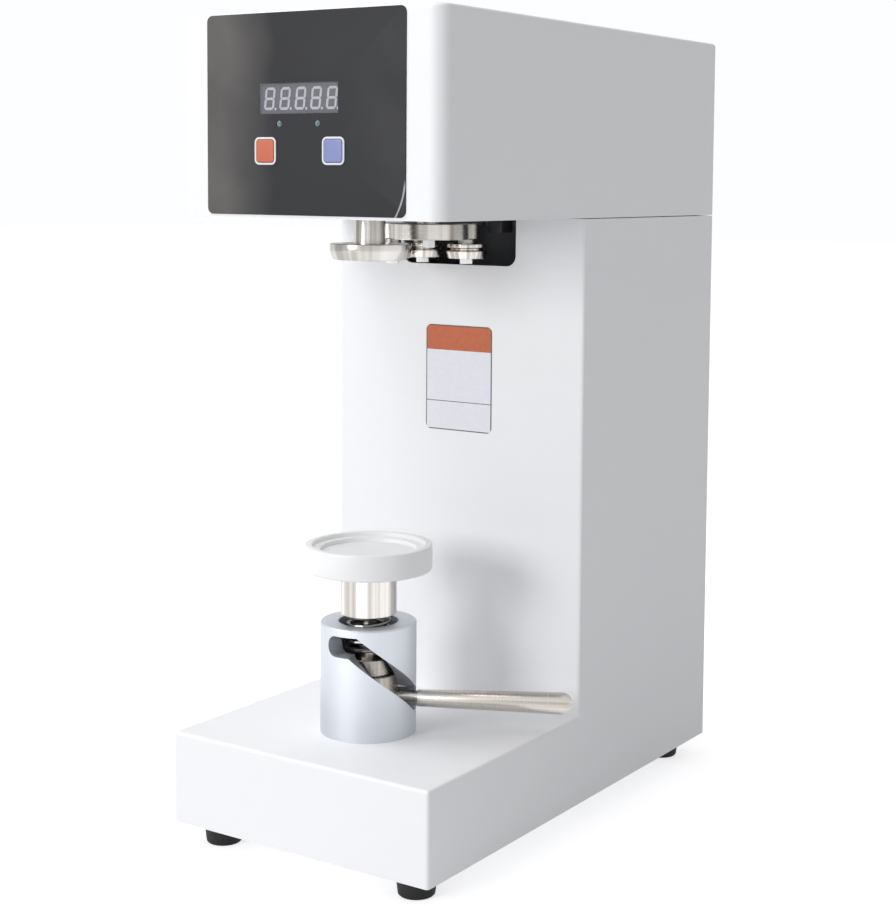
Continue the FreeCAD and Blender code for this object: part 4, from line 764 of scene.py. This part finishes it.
bearing_steel = brushed("bearing_steel", (0.62, 0.62, 0.63, 1.0), (0.46, 0.46, 0.47, 1.0), 0.22)
spring_steel = brushed("spring_steel", (0.26, 0.255, 0.25, 1.0), (0.12, 0.118, 0.115, 1.0), 0.30, 700.0)
dressed(bearing_steel, "spindle_bearings", "turret_bearings", "tray_bearing")
dressed(spring_steel, "spindle_clip", "stem_clip")

# ---- Screws, bolts and nuts.
# Black-oxide socket screws hold the frame, the housings and the sleeve, and bright zinc ones the
# covers, the feet and the board. Each has a fine spangle in its colour and roughness.
screw_black = brushed("screw_black", (0.075, 0.075, 0.08, 1.0), (0.03, 0.03, 0.033, 1.0), 0.42, 900.0, 0.6)
screw_zinc = brushed("screw_zinc", (0.74, 0.74, 0.73, 1.0), (0.60, 0.60, 0.61, 1.0), 0.30, 600.0)
dressed(screw_black, "frame_bolts", "housing_screws", "sleeve_bolts", "chuck_screw")
dressed(screw_zinc, "foot_screws", "board_standoffs", "spindle_nut", "turret_bolt", "cover_screws")

# ---- Drive.
# A geared motor hangs from the main plate on its flange, in dark machine enamel, and turns the
# spindle through a black V-belt on two turned aluminium pulleys.
motor_low, motor_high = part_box("motor_pulley")
motor_centre = Vector(((motor_low.x + motor_high.x) / 2, (motor_low.y + motor_high.y) / 2, 0.0))
pulley_light, pulley_dark = (0.80, 0.80, 0.81, 1.0), (0.52, 0.52, 0.53, 1.0)
for wheel, centre in (("spindle_pulley", spindle_centre), ("motor_pulley", motor_centre)):
    dressed(turned_metal(wheel + "_aluminium", centre, pulley_light, pulley_dark, 0.28), wheel)
shaft_steel = turned_metal(
    "motor_shaft_steel", motor_centre, (0.7, 0.69, 0.67, 1.0), (0.4, 0.39, 0.37, 1.0), 0.25
)
dressed(shaft_steel, "motor_shaft")
belt_rubber = soft_plastic(
    "belt_rubber", (0.030, 0.030, 0.031, 1.0), (0.018, 0.018, 0.019, 1.0), 0.62, 1500.0
)
dressed(belt_rubber, "drive_belt")
enamel = Finish(bpy.data.materials.new("motor_paint"))
enamel_cloud = noise(enamel, 30.0, 3.0)
enamel.surface(
    Base_Color=mixed(enamel, enamel_cloud, (0.060, 0.066, 0.072, 1.0), (0.085, 0.092, 0.100, 1.0)),
    Roughness=0.38 + 0.18 * enamel_cloud,
    Normal=relief(enamel, noise(enamel, 450.0, 3.0), 0.00006),
)
dressed(enamel, "drive_motor", "turret_gearmotor")


# ---- Roller turret.
# A thick steel disc with three bosses on its own bearings behind the spindle. It carries three
# hardened seaming rollers on shoulder bolts, each with a groove, a waist and a tapered foot.
turret_low, turret_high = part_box("turret_bolt")
turret_centre = Vector(((turret_low.x + turret_high.x) / 2, (turret_low.y + turret_high.y) / 2, 0.0))
turret_steel = turned_metal(
    "turret_steel", turret_centre, (0.74, 0.72, 0.69, 1.0), (0.20, 0.185, 0.165, 1.0), 0.26, 3.4,
    edges=(0.36, 0.60),
)
dressed(turret_steel, "turret_plate", "turret_housing", "turret_shaft", "gearmotor_shaft")
pin_steel = brushed("pin_steel", (0.86, 0.86, 0.85, 1.0), (0.70, 0.70, 0.69, 1.0), 0.26, 500.0)
dressed(pin_steel, "roller_pins")
collar_steel = brushed("collar_steel", (0.50, 0.48, 0.45, 1.0), (0.34, 0.325, 0.30, 1.0), 0.30, 400.0)
dressed(collar_steel, "roller_collars")
roller_radius = 0.0148
roller_foot = 0.0134
roller_ring = 0.0144
pin_bore = 0.0041
for number, groove_depth in ((1, 0.0026), (2, 0.0018), (3, 0.0022)):
    name = "seaming_roller_%d" % number
    low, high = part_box(name)
    centre = Vector(((low.x + high.x) / 2, (low.y + high.y) / 2, 0.0))
    roller_steel = turned_metal(
        "roller_steel_%d" % number, centre, (0.86, 0.84, 0.81, 1.0), (0.26, 0.235, 0.205, 1.0), 0.20, 2.6
    )
    waist = roller_ring - groove_depth
    roller_mesh = turned([
        (pin_bore, low.z), (roller_foot, low.z), (roller_radius, low.z + 0.0049),
        (roller_radius, low.z + 0.0055), (waist, low.z + 0.0063), (waist, low.z + 0.0073),
        (roller_ring, low.z + 0.0082), (roller_ring, high.z), (pin_bore, high.z), (pin_bore, low.z),
    ], Matrix.Translation(centre), 96)
    rounded(roller_mesh, 0.0003, 3, sharp_edge)
    made("roller_%d" % number, roller_mesh, "roller_%d" % number, roller_steel, "bright_steel", [name])

# ---- Turret sensor.
# A small black proximity sensor hangs from a zinc-plated tongue beside the turret and sees each
# boss pass, so that the machine knows where the rollers stand.
zinc_sheet = brushed("zinc_sheet", (0.60, 0.61, 0.63, 1.0), (0.47, 0.48, 0.50, 1.0), 0.34, 90.0)
dressed(zinc_sheet, "sensor_bracket", "column_posts", "lift_bridge", "base_plate")
black_plastic = soft_plastic(
    "black_plastic", (0.030, 0.030, 0.032, 1.0), (0.020, 0.020, 0.022, 1.0), 0.48
)
dressed(black_plastic, "turret_sensor")
# Painted shade: the white-painted main plate is given a darkened grey copy of the white coat, standing in
# for the shade under the head.
white_plate = powder_coat("white_plate", (0.62, 0.62, 0.63, 1.0), (0.56, 0.56, 0.57, 1.0))
dressed(white_plate, "main_plate")


# ---- Lift sleeve.
# A thick tube of aluminium bolted to the base, bead-blasted and anodised to a soft grey, with a
# helical slot milled through it from a low notch to a high one. A steel piston slides inside.
sleeve_centre = Vector(((sleeve_low.x + sleeve_high.x) / 2, (sleeve_low.y + sleeve_high.y) / 2, 0.0))
blasted = Finish(bpy.data.materials.new("blasted_aluminium"))
blast_grain = noise(blasted, 1300.0, 2.0)
blast_cloud = noise(blasted, 26.0, 3.0)
blasted.surface(
    Base_Color=mixed(blasted, blast_cloud, (0.600, 0.625, 0.665, 1.0), (0.655, 0.680, 0.725, 1.0)),
    Metallic=1.0,
    Roughness=0.46 + 0.10 * blast_grain,
    Normal=relief(blasted, blast_grain, 0.00003),
)
dressed(blasted, "lift_sleeve")
piston_steel = turned_metal(
    "piston_steel", sleeve_centre, (0.46, 0.43, 0.40, 1.0), (0.14, 0.128, 0.115, 1.0), 0.28, 2.8
)
dressed(piston_steel, "lift_piston", "spring_seat")
cup_steel = turned_metal(
    "cup_steel", sleeve_centre, (0.84, 0.82, 0.80, 1.0), (0.34, 0.32, 0.30, 1.0), 0.24, 2.6,
    edges=(0.38, 0.58),
)
dressed(cup_steel, "lift_cup")

# ---- Spring.
# A compression spring of oiled round wire, closed at both ends, that sits between the seat and
# the cup and gives the seam its pressure.
dressed(spring_steel, "lift_spring")

# ---- Handle.
# A turned and satin-polished stainless bar that swells towards a domed tip. Its threaded stud
# screws through the slot into the piston.
handle_low, handle_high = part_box("handle_bar")
handle_turn = math.radians(27.0)
handle_reach = 0.145
handle_tip = 0.00775
handle_root = 0.006
stud_radius = 0.005
stud_inner = 0.0081
shoulder = 0.0352
handle_level = (handle_low.z + handle_high.z) / 2
handle_place = (
    Matrix.Translation((sleeve_centre.x, sleeve_centre.y, handle_level))
    @ Matrix.Rotation(handle_turn, 4, "Z")
    @ Matrix.Rotation(math.radians(90.0), 4, "Y")
)
handle_steel = turned_metal(
    "handle_steel", (sleeve_centre.x, sleeve_centre.y, handle_level), (0.74, 0.71, 0.68, 1.0),
    (0.46, 0.43, 0.40, 1.0), 0.26, 1.3, handle_place.to_euler(),
)
handle_mesh = turned([
    (0.0, stud_inner), (stud_radius, stud_inner), (stud_radius, shoulder), (handle_root, shoulder),
    (handle_tip, handle_reach - handle_tip), (handle_tip, handle_reach), (0.0, handle_reach),
], handle_place, 64)
handle_axis = handle_place.to_3x3() @ Vector((0.0, 0.0, 1.0))
tip_middle = handle_place @ Vector((0.0, 0.0, handle_reach))
rounded(handle_mesh, handle_tip * 0.985, 10, lambda edge: (
    sharp_edge(edge) and all(abs((v.co - tip_middle).dot(handle_axis)) < 1e-5 for v in edge.verts)
))
rounded(handle_mesh, 0.0004, 2, lambda edge: (
    sharp_edge(edge) and (edge.verts[0].co - tip_middle).dot(handle_axis) < -0.02
))
made("handle", handle_mesh, "handle", handle_steel, "handle_steel", ["handle_bar"])

# ---- Can tray.
# A white acetal tray, turned in one piece, that spins on a ball bearing in the cup. A stepped
# recess takes the foot of the can.
acetal = Finish(bpy.data.materials.new("tray_plastic"))
acetal_place = local_place(acetal, sleeve_centre)
acetal_flat = acetal.node("ShaderNodeVectorMath", {"operation": "MULTIPLY"}, {0: acetal_place, 1: (1, 1, 0)})
acetal_radius = acetal.node("ShaderNodeVectorMath", {"operation": "LENGTH"}, {0: acetal_flat}, 1)
acetal_cut = noise(acetal, 900.0, 2.0, acetal.node(
    "ShaderNodeCombineXYZ", None, {0: acetal_radius, 1: parts(acetal, acetal_place)[2]}
))
acetal_cloud = noise(acetal, 35.0, 3.0)
acetal.surface(
    Base_Color=mixed(acetal, acetal_cloud, (0.86, 0.865, 0.865, 1.0), (0.90, 0.905, 0.905, 1.0)),
    Roughness=0.36 + 0.14 * acetal_cut,
    Normal=relief(acetal, acetal_cut, 0.00002),
)
tray_low, tray_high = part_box("can_tray")
tray_radius = (tray_high.x - tray_low.x) / 2
tray_body = 0.0186
stub_radius = 0.0049
stub_shoulder = 0.0075
step_radius = 0.0395
seat_radius = 0.0338
step_depth = 0.003
seat_depth = 0.006
tray_under = tray_high.z - tray_body
tray_mesh = turned([
    (0.0, tray_low.z), (stub_radius, tray_low.z), (stub_radius, tray_under - 0.0014),
    (stub_shoulder, tray_under - 0.0014), (stub_shoulder, tray_under), (tray_radius, tray_under),
    (tray_radius, tray_high.z), (step_radius, tray_high.z), (step_radius, tray_high.z - step_depth),
    (seat_radius, tray_high.z - step_depth), (seat_radius, tray_high.z - seat_depth),
    (0.0, tray_high.z - seat_depth),
], Matrix.Translation(sleeve_centre), 128)
rounded(tray_mesh, 0.0022, 5, lambda edge: (
    sharp_edge(edge) and all(near(v.co.z, tray_under) for v in edge.verts)
    and (edge.verts[0].co.xy - sleeve_centre.xy).length > step_radius
))
rounded(tray_mesh, 0.0011, 4, lambda edge: (
    sharp_edge(edge) and all(near(v.co.z, tray_high.z) for v in edge.verts)
))
rounded(tray_mesh, 0.0004, 2, lambda edge: (
    sharp_edge(edge) and all(tray_high.z - 0.0065 < v.co.z < tray_high.z - 0.002 for v in edge.verts)
))
made("tray", tray_mesh, "tray", acetal, "tray_plastic", ["can_tray"])


# ---- Rear cover and power pieces.
# A louvred steel cover closes the back. It carries a moulded mains inlet and a rocker switch, and
# a vented power supply in a folded bare case stands behind it on the base plate.
dressed(white_coat, "rear_cover")
dressed(black_plastic, "power_inlet", "power_switch", "power_rocker")
supply_case = brushed("supply_case", (0.62, 0.63, 0.64, 1.0), (0.50, 0.51, 0.52, 1.0), 0.36, 120.0)
dressed(supply_case, "power_supply")

# ---- Feet.
# Four turned black rubber feet, each held by a screw up through it into the base plate.
foot_rubber = soft_plastic(
    "foot_rubber", (0.024, 0.024, 0.024, 1.0), (0.013, 0.013, 0.013, 1.0), 0.66, 700.0, 0.3
)
dressed(foot_rubber, "rubber_feet")

# ---- Blank plate on the column.
# A thin printed aluminium plate stuck to the column front, left without words or signs: an orange
# band over a white field, with thin dark lines round and across it.
label_low = Vector((-0.0270, column_front - 0.0003, 0.2825))
label_high = Vector((0.0320, column_front, 0.3618))
label_mesh = box_mesh(label_low, label_high)
rounded(label_mesh, 0.0042, 8, lambda edge: along(edge, 1))
label_print = Finish(bpy.data.materials.new("label_print"))
label_middle = (label_low + label_high) / 2
label_x, _, label_z = parts(label_print, local_place(label_print, label_middle))
half_width = (label_high.x - label_low.x) / 2
half_height = (label_high.z - label_low.z) / 2
band_foot = half_height - 0.0190
ink_speckle = noise(label_print, 320.0, 3.0)


def apart(value):
    """A number without its sign."""
    return label_print.node("ShaderNodeMath", {"operation": "ABSOLUTE"}, {0: value})


band = stepped(label_print, label_z - band_foot, 0.0, 0.0003)
field = mixed(label_print, ink_speckle, (0.74, 0.74, 0.80, 1.0), (0.82, 0.82, 0.87, 1.0))
orange = mixed(label_print, ink_speckle, (0.44, 0.095, 0.030, 1.0), (0.56, 0.135, 0.048, 1.0))
printed = mixed(label_print, band, field, orange)
border_inner, border_outer = 0.0009, 0.0006
border = stepped(label_print, apart(label_x), half_width - border_inner, half_width - border_outer)
border = border + stepped(
    label_print, apart(label_z), half_height - border_inner, half_height - border_outer
)
divider_height = band_foot - 0.0385
divider_half = 0.00022
divider = stepped(label_print, apart(label_z - divider_height), divider_half * 1.5, divider_half)
lines = label_print.node(
    "ShaderNodeMath", {"operation": "ADD", "use_clamp": True}, {0: border, 1: divider}
)
label_print.surface(
    Base_Color=mixed(label_print, lines, printed, (0.07, 0.07, 0.08, 1.0)),
    Roughness=0.38 + 0.12 * ink_speckle,
    Normal=relief(label_print, ink_speckle, 0.00001),
)
made("blank_label", label_mesh, "frame", label_print, "white_plate")
